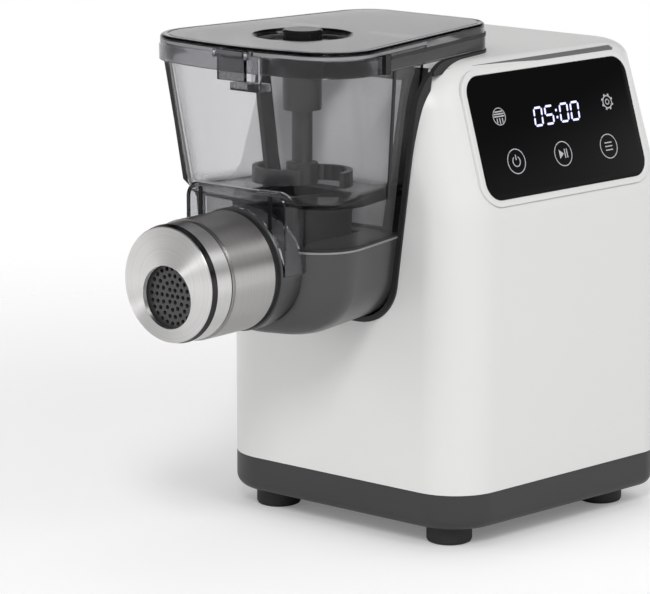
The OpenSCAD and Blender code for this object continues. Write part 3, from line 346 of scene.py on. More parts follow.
def smoky(name, clear, edge, density, roughness=0.03, power=2.0, neck=1.0):
    """Tinted clear plastic, darker where it is thick or seen edge on, and below the chamber's floor by neck."""
    material, tree, shader = base_material(name)
    facing = add(tree, "LayerWeight", {"Blend": 0.35})
    curve = add(tree, "Math", {0: facing.outputs["Facing"], 1: power}, operation="POWER")
    mix = add(tree, "Mix", {"A": (*clear, 1), "B": (*edge, 1), "Factor": curve.outputs[0]}, data_type="RGBA")
    color = mix.outputs["Result"]
    if neck < 1.0:
        height = add(tree, "SeparateXYZ", {0: add(tree, "TexCoord").outputs["Object"]}).outputs["Z"]
        low = add(tree, "MapRange", {"Value": height, "From Min": (FLOOR_Z - 1) * MM,
            "From Max": (FLOOR_Z + 1) * MM, "To Min": neck})
        tint = add(tree, "Mix", {"Factor": 1.0, "A": color, "B": low.outputs["Result"]},
            data_type="RGBA", blend_type="MULTIPLY")
        color = tint.outputs["Result"]
    tree.links.new(color, shader.inputs["Base Color"])
    give(shader, Roughness=roughness, Transmission_Weight=1.0, IOR=1.3, Specular_IOR_Level=0.25)
    absorb = add(tree, "VolumeAbsorption", {"Color": (0.1, 0.1, 0.12, 1), "Density": density})
    tree.links.new(absorb.outputs[0], tree.nodes["Material Output"].inputs["Volume"])
    return material


def glowing(name, color, strength):
    """Printed or lit mark behind the glass."""
    material, tree, shader = base_material(name)
    node = effect(tree, shader, GRAIN, 0.0, Color=(*color, 1), Scale=600.0, Roughness=0.35, Spread=0.02, Tint=0.05)
    tree.links.new(node.outputs["Color"], shader.inputs["Emission Color"])
    give(shader, Emission_Strength=strength)
    return material


def floor_material():
    """Pale floor that keeps the shadow and fades into the white round it."""
    material, tree, shader = base_material("studio_floor")
    give(shader, Base_Color=(0.9, 0.9, 0.9, 1), Roughness=0.9, Specular_IOR_Level=0.05)
    reach = add(tree, "VectorMath", {0: add(tree, "TexCoord").outputs["Object"]}, operation="LENGTH")
    fade = add(tree, "MapRange", {"Value": reach.outputs["Value"], "From Min": 0.3, "From Max": 0.9},
        interpolation_type="SMOOTHSTEP")
    seen = add(tree, "LightPath").outputs["Is Camera Ray"]
    lift = add(tree, "Emission", {"Color": (1, 1, 1, 1),
        "Strength": add(tree, "Math", {0: seen, 1: 0.16}, operation="MULTIPLY").outputs[0]})
    lit = add(tree, "AddShader", {0: shader.outputs[0], 1: lift.outputs[0]})
    clear = add(tree, "BsdfTransparent")
    mix = add(tree, "MixShader", {0: fade.outputs["Result"], 1: lit.outputs[0], 2: clear.outputs[0]})
    tree.links.new(mix.outputs[0], tree.nodes["Material Output"].inputs["Surface"])
    return material


FINISH = {
    "pearl_white": moulded("pearl_white", (0.78, 0.78, 0.77), 0.38, bump=0.01, coat=0.35, tint=0.01),
    "dark_base": moulded("dark_base", (0.033, 0.033, 0.035), 0.42, bump=0.02),
    "black_rubber": moulded("black_rubber", (0.012, 0.012, 0.012), 0.6, bump=0.08),
    "zinc_screw": metal("zinc_screw", (0.55, 0.55, 0.57), 0.35),
    "black_glass": moulded("black_glass", (0.005, 0.005, 0.005), 0.08, bump=0.0, spread=0.01, specular=0.06),
    "black_plastic": moulded("black_plastic", (0.02, 0.02, 0.02), 0.35, bump=0.04),
    "solder_mask": moulded("solder_mask", (0.02, 0.12, 0.05), 0.4, bump=0.03),
    "white_vent": moulded("white_vent", (0.75, 0.75, 0.74), 0.4, bump=0.03),
    "motor_steel": metal("motor_steel", (0.5, 0.5, 0.52), 0.35, along=(1, 0.1, 1)),
    "nylon": moulded("nylon", (0.75, 0.72, 0.63), 0.5, bump=0.05),
    "cast_case": moulded("cast_case", (0.28, 0.29, 0.31), 0.5, scale=300, bump=0.2),
    "dark_satin": moulded("dark_satin", (0.042, 0.042, 0.044), 0.3, bump=0.01, coat=0.3),
    # grey of the strip in the groove: painted shade
    "groove_shade_grey": moulded("groove_shade_grey", (0.16, 0.16, 0.162), 0.5, bump=0.01),
    # pale grey of the band under the seam: a painted highlight
    "highlight_satin": moulded("highlight_satin", (0.3, 0.3, 0.305), 0.3, bump=0.01, coat=0.3),
    "gloss_black": moulded("gloss_black", (0.01, 0.01, 0.01), 0.2, bump=0.0, spread=0.02, specular=0.12),
    "shaft_satin": moulded("shaft_satin", (0.024, 0.024, 0.025), 0.4, scale=300.0, bump=0.0),
    "grey_satin": moulded("grey_satin", (0.05, 0.05, 0.052), 0.35, scale=300.0, bump=0.0),
    "smoky_hopper": smoky("smoky_hopper", (0.96, 0.955, 0.965), (0.05, 0.05, 0.054), 90.0, power=2.2, neck=0.72),
    "smoky_guard": smoky("smoky_guard", (0.9, 0.9, 0.92), (0.03, 0.03, 0.034), 120.0, power=1.8),
    "smoky_lid": smoky("smoky_lid", (0.65, 0.645, 0.66), (0.04, 0.04, 0.044), 150.0, roughness=0.1, power=3.0),
    "smoky_latch": smoky("smoky_latch", (0.5, 0.5, 0.51), (0.03, 0.03, 0.032), 260.0, power=2.0),
    "turned_sleeve": turned("turned_sleeve", (0.5, 0.49, 0.48), 0.38),
    "turned_cap": turned("turned_cap", (0.73, 0.725, 0.715), 0.44, scale=1200.0),
    # near-black steel of the ring on the cap's bevel: a painted dark reflection
    "steel_dark_reflection": turned("steel_dark_reflection", (0.045, 0.045, 0.047), 0.3),
    "dark_die": moulded("dark_die", (0.05, 0.05, 0.052), 0.4, bump=0.02),
    "icon_white": glowing("icon_white", (0.46, 0.46, 0.48), 0.12),
    "digit_light": glowing("digit_light", (0.62, 0.63, 0.95), 0.75),
    "silicone": moulded("silicone", (0.6, 0.6, 0.6), 0.5, bump=0.03),
}

NODE_FINISH = {
    "pearl_white": ["housing", "control_bezel"],
    "dark_base": ["base_tray", "motor_saddle"],
    "black_rubber": ["feet", "hopper_rim", "collar_ring", "cap_seal", "drive_belt", "shaft_seal"],
    "zinc_screw": ["base_screws", "latch_pin"],
    "black_glass": ["panel_glass"],
    "black_plastic": ["display_module", "power_inlet", "cooling_fan", "mixer_dog", "feed_chute", "auger"],
    "gloss_black": ["lid_hub", "drive_cover", "lid_clips"],
    "solder_mask": ["control_board"],
    "white_vent": ["rear_vent"],
    "motor_steel": ["motor_can", "motor_rotor", "motor_pinion", "drive_shaft", "shaft_bearings", "mixer_motor"],
    "nylon": ["drive_gear", "dog_pulley", "mixer_pulley"],
    "cast_case": ["gearbox_case", "gearbox_cover"],
    "dark_satin": ["lower_housing"],
    "grey_satin": ["barrel_collar"],
    "shaft_satin": ["cover_floor", "mixing_shaft", "mixing_paddle"],
    "smoky_hopper": ["hopper"],
    "smoky_guard": ["barrel_guard", "latch_catch", "latch_ears"],
    "smoky_latch": ["lid_latch"],
    "smoky_lid": ["lid"],
    "turned_sleeve": ["barrel_sleeve"],
    "turned_cap": ["end_cap"],
    "dark_die": ["die_disc"],
    "silicone": ["lid_seal"],
}


def dress_nodes():
    for finish, names in NODE_FINISH.items():
        for name in names:
            node = frame["nodes"][name]
            node.data.materials.clear()
            node.data.materials.append(FINISH[finish])


# ---------------------------------------------------------------- outlines in the tower's own frame
def corner_arc(a, p, b, radius, steps):
    """Points of the round corner at p between its neighbours a and b."""
    a, p, b = Vector(a), Vector(p), Vector(b)
    u, v = (a - p).normalized(), (b - p).normalized()
    half = math.acos(max(-1.0, min(1.0, u.dot(v)))) / 2
    centre = p + (u + v).normalized() * radius / math.sin(half)
    start = p + u * radius / math.tan(half) - centre
    end = p + v * radius / math.tan(half) - centre
    angle = math.atan2(start.y, start.x)
    turn = (math.atan2(end.y, end.x) - angle + math.pi) % (2 * math.pi) - math.pi
    return [(centre.x + radius * math.cos(angle + turn * k / steps),
        centre.y + radius * math.sin(angle + turn * k / steps)) for k in range(steps + 1)]


def rounded(points, radii, steps=14):
    """Closed outline through the points, with a corner radius at each."""
    outline = []
    for k, point in enumerate(points):
        outline += corner_arc(points[k - 1], point, points[(k + 1) % len(points)], radii[k], steps)
    return outline


def soft_rect(w, h, r, steps=14, at=(0, 0)):
    x, y = at
    corners = [(x - w / 2, y - h / 2), (x + w / 2, y - h / 2), (x + w / 2, y + h / 2), (x - w / 2, y + h / 2)]
    return rounded(corners, [r] * 4, steps)


def level(outline, z):
    """Ring of an outline in X and Y at height z."""
    return [(x, y, z) for x, y in outline]


def lean_at(z):
    """How far the upper sides lean in at height z, with a soft bend where the lean starts."""
    slope = math.tan(LEAN) / math.cos(FLARE)
    up = z - LEAN_START
    if up < -BEND:
        return 0.0
    if up < BEND:
        return slope * (up + BEND) ** 2 / (4 * BEND)
    return slope * up


def round_off(z, top, radius):
    """How far an edge rounded off below top draws in at height z."""
    return radius - math.sqrt(max(0.0, radius ** 2 - (z - top + radius) ** 2)) if z > top - radius else 0.0


def tower_outline(side, front, back, d, steps=14):
    """The tower's outline, moved in at its sides, front and back, with its corner radii less d."""
    hf = TOWER_W / 2 - side
    hb = hf + TOWER_D * math.tan(FLARE)
    corners = [(-hf, FRONT_Y + front), (hf, FRONT_Y + front), (hb, BACK_Y - back), (-hb, BACK_Y - back)]
    return rounded(corners, [CORNER_R - d, CORNER_R - d, BACK_R - d, BACK_R - d], steps)


def tower_ring(z, d=0.0):
    edge, front = round_off(z, TOWER_TOP, TOP_R), round_off(z, TOWER_TOP, FRONT_R)
    return level(tower_outline(lean_at(z) + edge + d, front + d, edge + d, d), z)


def tray_ring(z, d):
    return level(tower_outline(d, d, d, d), z)


def rim_half(z):
    """Half width of the rim round the hopper's rear, at height z."""
    rise = TOWER_TOP - RIM_BOTTOM - RIM_R
    return RIM_LOW_HALF + (RIM_TOP_HALF - RIM_LOW_HALF) * (z - RIM_BOTTOM - RIM_R) / rise


def rim_outline(d, top, steps=20):
    """The rim's outline in X and Z, open at the top and moved in by d."""
    low, hl, ht = RIM_BOTTOM + d, rim_half(RIM_BOTTOM) - d, rim_half(top) - d
    return ([(-ht, top)] + corner_arc((-ht, top), (-hl, low), (hl, low), RIM_R - d, steps)
        + corner_arc((-hl, low), (hl, low), (ht, top), RIM_R - d, steps) + [(ht, top)])


def hopper_half(y, z):
    """Half width of the hopper's drafted walls at y and height z."""
    return rim_half(z) - HOPPER_IN + (FRONT_Y - RIM_PROUD - y) * math.tan(TAPER)


def bow_r(half):
    """Radius at the middle of a bowed front, for its half width."""
    return 0.35 * half * half / FRONT_BOW


def hopper_ring(z, yf, d, at=None, drop=0.0):
    """Ring of the hopper's outline at height z: front corners at yf, moved in by d, as wide as at height at."""
    w = z if at is None else at
    side = d / math.cos(TAPER) + drop
    front, back = yf + d, HOPPER_REAR - d
    hf, hr = hopper_half(front, w) - side, hopper_half(back, w) - side
    corner, back_r = min(HOPPER_R - d, 0.45 * hf), 5 - min(d, 4)
    corners = [(0, front - FRONT_BOW), (hf, front), (hr, back), (-hr, back), (-hf, front)]
    return level(rounded(corners, [bow_r(hf), corner, back_r, back_r, corner]), z)


def chamber_front(z):
    return CHAMBER_Y - FRONT_DRAFT * (z - SHOULDER_Z) / (LID_TOP - SHOULDER_Z)


def chamber_ring(z, d=0.0):
    """Ring of the chamber above the neck, moved in by d."""
    return hopper_ring(z, chamber_front(z), d, at=max(z, SEAM_Z))


def lower_ring(z):
    """Ring of the lower housing, drawn in where its underside rounds off."""
    radius = RIM_R - RIM_W - FIT
    up = LOWER_BOTTOM + radius - z
    drop = radius - math.sqrt(max(0.0, radius ** 2 - up ** 2)) if up > 0 else 0.0
    return hopper_ring(z, NECK_Y + max(0.0, drop - 6) * 0.35, 0.0, drop=drop)


def lid_outline(d, steps=14):
    """The hopper's outline moved out by d and carried back to the lid's rear, which stays in place."""
    yf = chamber_front(HOPPER_TOP) - d
    hf, hr = [d / math.cos(TAPER) + hopper_half(y, HOPPER_TOP) for y in (yf, LID_REAR)]
    corners = [(0, yf - FRONT_BOW), (hf, yf), (hr, LID_REAR), (-hr, LID_REAR), (-hf, yf)]
    return rounded(corners, [bow_r(hf), HOPPER_R + d, 24, 24, HOPPER_R + d], steps)


# ---------------------------------------------------------------- making pieces
def new_piece(name, points, faces, material, body, sharp=SHARP, turn=None):
    """Mesh from points in the tower's frame, or in the frame that turn gives."""
    mesh = bpy.data.meshes.new(name)
    if turn is not None:
        points = [turn @ Vector(p) for p in points]
    mesh.from_pydata([place(*p) for p in points], [], faces)
    piece = bpy.data.objects.new(name, mesh)
    bpy.context.scene.collection.objects.link(piece)
    work = bmesh.new()
    work.from_mesh(mesh)
    bmesh.ops.remove_doubles(work, verts=work.verts, dist=1e-6)
    bmesh.ops.recalc_face_normals(work, faces=work.faces)
    work.to_mesh(mesh)
    work.free()
    smooth(piece, sharp)
    if material:
        mesh.materials.append(FINISH[material])
    if body:
        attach(piece, body)
    return piece


def smooth(piece, sharp):
    piece.data.shade_smooth()
    piece.data.set_sharp_from_angle(angle=math.radians(sharp))


def loft_faces(count, rings, hoop):
    """Faces of a skin over rings of count points, capped at both ends or joined into a hoop."""
    faces = []
    for k in range(rings if hoop else rings - 1):
        low, high = k * count, ((k + 1) % rings) * count
        for i in range(count):
            j = (i + 1) % count
            faces.append((low + i, low + j, high + j, high + i))
    if not hoop:
        faces.append(tuple(range(count)))
        faces.append(tuple((rings - 1) * count + i for i in reversed(range(count))))
    return faces


def loft(name, rings, material=None, body=None, hoop=False, sharp=SHARP, turn=None):
    """Piece whose skin runs over the rings. One without a material is a cutter."""
    points = [p for ring in rings for p in ring]
    faces = loft_faces(len(rings[0]), len(rings), hoop)
    return new_piece(name, points, faces, material, body, sharp, turn)


def circle(steps):
    """Cosine and sine at even steps round a circle."""
    return [(math.cos(2 * math.pi * k / steps), math.sin(2 * math.pi * k / steps)) for k in range(steps)]


def bar(name, outline, y0, y1):
    """Cutter: an outline in X and Z, drawn along Y."""
    return loft(name, [[(x, y0, z) for x, z in outline], [(x, y1, z) for x, z in outline]])


def peg(name, at, along, radius, steps=64):
    """Cutter: a round bar from at, along a vector."""
    start, run = Vector(at), Vector(along)
    u = run.orthogonal().normalized()
    v = run.normalized().cross(u)
    ring = [u * radius * c + v * radius * s for c, s in circle(steps)]
    return loft(name, [[tuple(start + q) for q in ring], [tuple(start + run + q) for q in ring]])


def bore(name, y, length, radius, steps=64):
    """Cutter: a round bar along the barrel's axis, from y."""
    return peg(name, (0, y, AXIS_Z), (0, length, 0), radius, steps)


def block(name, low, high):
    """Cutter: a box from its low to its high corner."""
    x0, y0, z0 = low
    x1, y1, z1 = high
    return loft(name, [[(x0, y0, z), (x1, y0, z), (x1, y1, z), (x0, y1, z)] for z in (z0, z1)])


def cut(piece, cutters, sharp=SHARP, how="DIFFERENCE"):
    """Cuts the cutters out of the piece, or joins them to it, and removes them."""
    for cutter in cutters:
        step = piece.modifiers.new("cut", "BOOLEAN")
        step.operation = how
        step.object = cutter
        step.solver = "EXACT"
    apply_modifiers(piece)
    for cutter in cutters:
        bpy.data.objects.remove(cutter, do_unlink=True)
    smooth(piece, sharp)
    even = piece.modifiers.new("even", "WEIGHTED_NORMAL")
    even.keep_sharp = True
    apply_modifiers(piece)
    return piece


def apply_modifiers(piece):
    bpy.context.view_layer.update()
    done = bpy.data.meshes.new_from_object(piece.evaluated_get(bpy.context.evaluated_depsgraph_get()))
    piece.modifiers.clear()
    old = piece.data
    piece.data = done
    bpy.data.meshes.remove(old)


# Frame on the leaning right side: X out of the side, Y towards the back, Z up the side
SIDE = (Matrix.Translation((TOWER_W / 2, FRONT_Y, LEAN_START)) @ Matrix.Rotation(-FLARE, 4, "Z")
    @ Matrix.Rotation(-LEAN, 4, "Y"))
PANEL_Y = GLASS_FRONT + GLASS_L / 2
PANEL_Z = GLASS_BEND + GLASS_H / 2


def side_ring(x, w, h, r, steps=14):
    return [(x, y, z) for y, z in soft_rect(w, h, r, steps, (PANEL_Y, PANEL_Z))]


def side_plate(name, x0, x1, w, h, r):
    """Cutter: a rounded plate in the leaning side, from x0 to x1 out of it."""
    return loft(name, [side_ring(x0, w, h, r), side_ring(x1, w, h, r)], turn=SIDE)


# ---------------------------------------------------------------- tower
def groove_parts(slope):
    """The groove over the panel, which widens to its front, as a cutter, and a grey strip on its floor that is
    painted shade for the groove's shadow.
    """
    l, w = GROOVE_L, GROOVE_W
    wedge = [(0, w * 0.85), (l * 0.28, w * 0.4), (l * 0.5, -0.3), (l, -0.3), (l + 1.5, w * 0.4), (l, w)]
    turn = slope @ Matrix.Rotation(GROOVE_TURN, 4, "Y")

    def between(*depths):
        return [[(x, y, z) for y, z in wedge] for x in depths]
    # grey strip on the groove's floor: painted shade
    loft("groove_liner", between(-0.2, 0.15), "groove_shade_grey", "machine", turn=turn)
    return loft("groove", between(0, 10), turn=turn)


def make_tower():
    """White shell with the hopper's pocket, the panel's seat and window, the groove, the vent and the inlet."""
    top = [TOWER_TOP - FRONT_R * (1 - math.sin(math.radians(90 * k / 16))) for k in range(17)]
    bend = [LEAN_START + BEND * k / 4 for k in range(-4, 5)]
    shell = loft("tower_shell", [tower_ring(z) for z in [BASE_TOP, 90] + bend + top],
        "pearl_white", "machine")
    roof = TOWER_TOP - WALL
    hollow = loft("hollow", [level(tower_outline(lean_at(z) + WALL, INNER_FRONT, WALL, WALL, 6), z)
        for z in (BASE_TOP - 1, LEAN_START - 8, LEAN_START + 8, roof)])
    seat_l, seat_h = GLASS_L + 2 * BEZEL_MARGIN + FIT, GLASS_H + 2 * BEZEL_MARGIN + FIT
    slope = SIDE @ Matrix.Translation((-BEZEL_SEAT - 0.15, GLASS_FRONT + 14, GLASS_BEND + GLASS_H + BEZEL_MARGIN))
    vent = [(x, z + VENT_Z) for x, z in soft_rect(VENT_W + FIT, VENT_H + FIT, 6, 8)]
    vent_hole = [(x, z + VENT_Z) for x, z in soft_rect(VENT_W - 8, VENT_H - 8, 6, 8)]
    w, h = (INLET_W + FIT) / 2, (INLET_H + FIT) / 2
    cut(shell, [hollow,
        bar("pocket", rim_outline(0, TOWER_TOP + 5, 24), FRONT_Y - 5, POCKET_Y),
        side_plate("seat", -BEZEL_SEAT, 20, seat_l, seat_h, GLASS_CORNER + BEZEL_MARGIN),
        side_plate("window", -12, 1, GLASS_L - 4, GLASS_H - 4, GLASS_CORNER - 2),
        groove_parts(slope),
        bore("shaft_hole", POCKET_Y - 1, WALL + 3, SHAFT_HOLE_R),
        peg("dog_hole", (0, DOG_Y, roof - 1), (0, 0, WALL + 3), DOG_HOLE_R),
        bar("vent_hole", vent_hole, BACK_Y - WALL - 2, BACK_Y + 1),
        bar("vent_seat", vent, BACK_Y - 1.6, BACK_Y + 1),
        block("inlet_hole", (-w, BACK_Y - WALL - 2, INLET_Z - h), (w, BACK_Y + 1, INLET_Z + h))])
    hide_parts("housing")


def make_tray():
    """Dark base with a rounded underside and holes for the feet."""
    rings = [tray_ring(FOOT_H, BASE_R)]
    for k in range(1, 9):
        t = math.radians(90 * k / 8)
        rings.append(tray_ring(FOOT_H + BASE_R * (1 - math.cos(t)), BASE_R * (1 - math.sin(t))))
    rings += [tray_ring(BASE_TOP - 0.45, 0), tray_ring(BASE_TOP - 0.1, 0.35), tray_ring(BASE_TOP - 0.1, WALL),
        tray_ring(FOOT_H + 4, WALL + 4)]
    tray = loft("base_shell", rings, "dark_base", "machine")
    holes = []
    for y in (FRONT_Y + FOOT_INSET, BACK_Y - FOOT_INSET):
        x = TOWER_W / 2 + (y - FRONT_Y) * math.tan(FLARE) - FOOT_INSET - 4
        for s in (-1, 1):
            holes.append(peg("foot_hole", (s * x, y, 5), (0, 0, FOOT_H - 3.5), FOOT_R - 3))
    cut(tray, holes)
    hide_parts("base_tray")


def make_bezel():
    """White surround with a soft outer edge, and the glass set into it."""
    def plates(table):
        return [side_ring(x, GLASS_L + 2 * grow, GLASS_H + 2 * grow, GLASS_CORNER + grow) for x, grow in table]
    m, top, step = BEZEL_MARGIN, BEZEL_PROUD, BEZEL_PROUD - GLASS_T
    surround = plates([(-BEZEL_SEAT, m), (top - 0.7, m), (top - 0.32, m - 0.08), (top - 0.1, m - 0.3), (top, m - 0.7),
        (top, 0.5), (top - 0.12, 0.22), (top - 0.35, 0.15), (step, 0.15), (step, -9), (-BEZEL_SEAT, -9)])
    bezel = loft("panel_surround", surround, "pearl_white", "machine", hoop=True, turn=SIDE,
        sharp=PANEL_SHARP)
    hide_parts("control_bezel")
    face = top - 0.1
    pane = plates([(step + 0.02, 0), (face - 0.35, 0), (face - 0.1, -0.1), (face, -0.35)])
    glass = loft("touch_glass", pane, "black_glass", "machine", turn=SIDE, sharp=PANEL_SHARP)
    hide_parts("panel_glass")


# ---------------------------------------------------------------- hopper and lower housing
def collar_seat():
    return bore("collar_seat", AXIS_FRONT + FLANGE_L, -BORE_REACH, SLEEVE_R + FIT, ROUND)


def chute(low, high):
    return block("chute", (-CHUTE_HALF, CHUTE_FRONT, low), (CHUTE_HALF, CHUTE_REAR, high))


def make_lower_housing():
    """Dark housing with a rounded underside, bored for the auger."""
    radius = RIM_R - RIM_W - FIT
    rings = [lower_ring(LOWER_BOTTOM + radius * (1 - math.cos(math.radians(90 * k / 16)))) for k in range(17)]
    rings += [lower_ring(SEAM_Z - 0.6), hopper_ring(SEAM_Z - 0.05, NECK_Y, 0.5)]
    housing = loft("lower_shell", rings, "dark_satin", "machine", sharp=SHELL_SHARP)
    cut(housing, [collar_seat(), bore("bore", HOPPER_REAR - 12, -200, BORE_R, ROUND),
        bore("shaft_way", HOPPER_REAR + 5, -BORE_REACH, SHAFT_WAY_R), chute(AXIS_Z, SEAM_Z + 20)], SHELL_SHARP)
    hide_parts("lower_housing")


def make_hopper():
    """Clear chamber with a bowed front, on a neck with a shoulder."""
    t, lip, neck_top = HOPPER_WALL, HOPPER_TOP, FLOOR_Z - 2
    neck = [(SEAM_Z, 0, t), (SEAM_Z, 0, 0.5), (SEAM_Z + 0.5, 0, 0), (neck_top - 3, 0, 0), (neck_top, 0.6, 0),
        (FLOOR_Z - 0.6, 2.2, 0), (FLOOR_Z + 0.8, 4.8, 0), (FLOOR_Z + 2.4, 7.0, 0)]
    chamber = [(SHOULDER_Z + 1, 0), (lip - 0.6, 0), (lip, 0.6), (lip, t - 0.6), (lip - 0.6, t), (SHOULDER_Z + 4, t),
        (SHOULDER_Z, t + 0.8), (FLOOR_Z + 1.4, t + 2.4), (FLOOR_Z, t + 5)]
    rings = [hopper_ring(FLOOR_Z - t, NECK_Y, t, at=neck_top)]
    rings += [hopper_ring(z, NECK_Y - ahead, d) for z, ahead, d in neck] + [chamber_ring(z, d) for z, d in chamber]
    hopper = loft("hopper_shell", rings, "smoky_hopper", "machine", sharp=SHELL_SHARP)
    arm_gap = block("arm_gap", (-ARM_HALF, HOPPER_REAR - 12, TOWER_TOP - 1),
        (ARM_HALF, HOPPER_REAR + 8, TOWER_TOP + 39))
    cut(hopper, [chute(FLOOR_Z - 10, FLOOR_Z + 10), arm_gap, collar_seat()], SHELL_SHARP)
    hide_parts("hopper")


# ---------------------------------------------------------------- lid, guard and latch
def skirt_foot(y):
    """Height of the skirt's foot, which steps up over the tower's top."""
    if y < FRONT_Y:
        return SKIRT_LOW
    return REAR_LOW if y > FRONT_Y + 12 else SKIRT_LOW + (REAR_LOW - SKIRT_LOW) * (y - FRONT_Y) / 12


def foot(outline, up=0.0):
    return [(x, y, skirt_foot(y) + up) for x, y in outline]


def make_lid():
    """Smoky lid: flat top with an inset line, a shallow step under its edge and a straight skirt."""
    t, outer = LID_T, lid_outline(LID_OUT)
    inner = [(x, min(y, LID_REAR - HOPPER_WALL)) for x, y in lid_outline(LID_GAP)]
    edge = [(0.6, -5.4), (0.6, -1.4), (1.0, -0.5), (1.9, 0), (4.4, 0), (4.7, -0.35), (5.3, -0.35), (5.6, 0)]
    rings = [level(inner, LID_TOP - t), foot(inner, 0.4), foot(lid_outline(LID_OUT - 0.4)), foot(outer, 0.4),
        level(outer, LID_TOP - 6)] + [level(lid_outline(LID_OUT - d), LID_TOP + up) for d, up in edge]
    lid = loft("lid_shell", rings, "smoky_lid", "lid", sharp=SHELL_SHARP)
    boss = peg("boss", (0, MIXER_Y, COVER_TOP + 0.05), (0, 0, t + 1), WELL_R + 2, ROUND)
    cut(lid, [boss], SHELL_SHARP, "UNION")
    well = [[(r * c, MIXER_Y + r * s, z) for c, s in circle(ROUND)]
        for r, z in ((WELL_R - 2.8, LID_TOP - WELL_DEPTH), (WELL_R - 2, LID_TOP - WELL_DEPTH + 0.8),
            (WELL_R - 0.3, LID_TOP - 0.5), (WELL_R + 0.4, LID_TOP), (WELL_R + 1, LID_TOP + 4))]
    shaft_hole = peg("shaft_hole", (0, MIXER_Y, COVER_TOP - 5), (0, 0, 20), LID_HOLE_R)
    cut(lid, [loft("well", well), shaft_hole], SHELL_SHARP)
    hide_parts("lid")


def make_guard():
    """Clear box over the barrel, with rounded shoulders and a thickened front rim."""
    def ring(y, d):
        h, top, r = GUARD_HALF - d, GUARD_TOP - d, GUARD_R - d
        outline = ([(-h, AXIS_Z), (h, AXIS_Z)] + corner_arc((h, AXIS_Z), (h, top), (-h, top), r, 10)
            + corner_arc((h, top), (-h, top), (-h, AXIS_Z), r, 10))
        return [(x, y, z) for x, z in outline]
    w, front, rear = GUARD_WALL, GUARD_FRONT, AXIS_FRONT + 8
    rings = [ring(rear, w), ring(rear, 0), ring(front + 0.6, 0), ring(front, 0.6), ring(front, w), ring(front + w, w)]
    guard = loft("guard_shell", rings, "smoky_guard", "machine", hoop=True, sharp=SHELL_SHARP)
    face = loft("guard_face", [ring(front + 0.1, w - 0.5), ring(front + w, w - 0.5)])
    cut(guard, [face], SHELL_SHARP, "UNION")
    keep = [hopper_ring(z, y, -FIT, at=at) for z, y, at in ((SEAM_Z - 60, NECK_Y, SEAM_Z - 10),
        (FLOOR_Z - 2, NECK_Y, FLOOR_Z), (SHOULDER_Z, CHAMBER_Y, SHOULDER_Z),
        (SHOULDER_Z + 30, CHAMBER_Y - 3, SHOULDER_Z + 30))]
    barrel_way = bore("barrel_way", AXIS_FRONT + 20, -BORE_REACH, BARREL_WAY_R, ROUND)
    cut(guard, [barrel_way, loft("hopper_way", keep)], SHELL_SHARP)
    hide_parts("barrel_guard")


# ---------------------------------------------------------------- dark trims
def make_wall_strip():
    """Upright dark strip on the hopper's right wall, a little behind the lid's clip."""
    section = [(-1.5, -0.4), (-1.5, 0.5), (-1.1, 0.8), (1.1, 0.8), (1.5, 0.5), (1.5, -0.4)]
    rings = []
    for z in (FLOOR_Z - 2, SHOULDER_Z, UPRIGHT_MID, SKIRT_LOW - 1):
        y = STRIP_Y + (SKIRT_LOW - z) * STRIP_SLANT
        rings.append([(hopper_half(y + dy, z) + out, y + dy, z) for dy, out in section])
    loft("wall_strip", rings, "black_rubber", "machine")


def make_corner_shade_strip():
    """Dark upright strip on the hopper's left front corner: painted shade, standing in for the dark edge that the
    clear corner shows by refraction.
    """
    rings = []
    n = Vector((-math.cos(CORNER_TURN), -math.sin(CORNER_TURN)))
    t = Vector((n.y, -n.x))
    section = [(-1.4, -1.2), (-1.4, 1.6), (-0.9, 2.1), (0.9, 2.1), (1.4, 1.6), (1.4, -1.2)]
    # the black strip follows the corner's edge, where it is painted shade
    for z in (SEAM_Z + 2, FLOOR_Z - 3, SHOULDER_Z + 1, UPRIGHT_MID, SKIRT_LOW - 1):
        wall = chamber_ring(z) if z > FLOOR_Z else hopper_ring(z, NECK_Y, 0.0)
        edge = max((Vector(p[:2]) for p in wall), key=lambda q: q.dot(n))
        rings.append([(*(edge + t * a + n * b), z) for a, b in section])
    loft("corner_rib", rings, "black_rubber", "machine")


def make_lid_trims():
    """Black band and dark panel along the lid's rear sides and round its rear corners.

    lid_outline keeps its straight rear in place at any d, so across the rear both have no thickness.
    """
    def path(d):
        """The lid's outline moved out by d, from the band's start round the rear."""
        x = d / math.cos(TAPER) + hopper_half(BAND_START, HOPPER_TOP)
        return [(x, BAND_START)] + [p for p in lid_outline(d) if p[1] > BAND_START + 20] + [(-x, BAND_START)]
    low, high = LID_TOP - 7.4, LID_TOP - 5.6
    band = path(LID_OUT + 0.35) + path(LID_OUT - 0.8)[::-1]
    loft("lid_band", [level(band, low), level(band, high)], "black_rubber", "lid")
    panel = path(LID_GAP + 0.35) + path(LID_GAP + 0.1)[::-1]
    loft("lid_panel", [foot(panel, 0.6), level(panel, low)], "dark_satin", "lid")


def make_rim_border():
    """Black border behind the right of the hopper's rear wall, and the bar across its top."""
    def trim(name, outline):
        loft(name, [[(x, y, z) for x, z in outline] for y in (POCKET_Y - 0.27, POCKET_Y - 0.05)],
            "black_rubber", "machine")
    d, low, high = RIM_W + 0.2, RIM_BAR_Z, TOWER_TOP - 1.5
    outer, inner = [[p for p in rim_outline(inset, low) if p[0] > BORDER_FROM] for inset in (d, d + BORDER_W)]
    trim("rim_border", outer + inner[::-1])
    bottom, top = rim_half(low) - d, rim_half(high) - d
    trim("rim_bar", [(-bottom, low), (bottom, low), (top, high), (-top, high)])


def make_guard_ribs():
    """Dark upright ribs on the guard's front, from the barrel's opening to its top."""
    top, w = GUARD_TOP - 2, RIB_HALF
    low = AXIS_Z + math.sqrt(BARREL_WAY_R ** 2 - (RIB_X - w) ** 2) + 0.2
    for name, x in (("right", RIB_X), ("left", -RIB_X)):
        outline = soft_rect(2 * w, top - low, 0.8, 5, (x, (top + low) / 2))
        loft("guard_rib_" + name, [[(px, y, z) for px, z in outline] for y in (GUARD_FRONT + 0.4, GUARD_FRONT - 0.5)],
            "gloss_black", "machine")


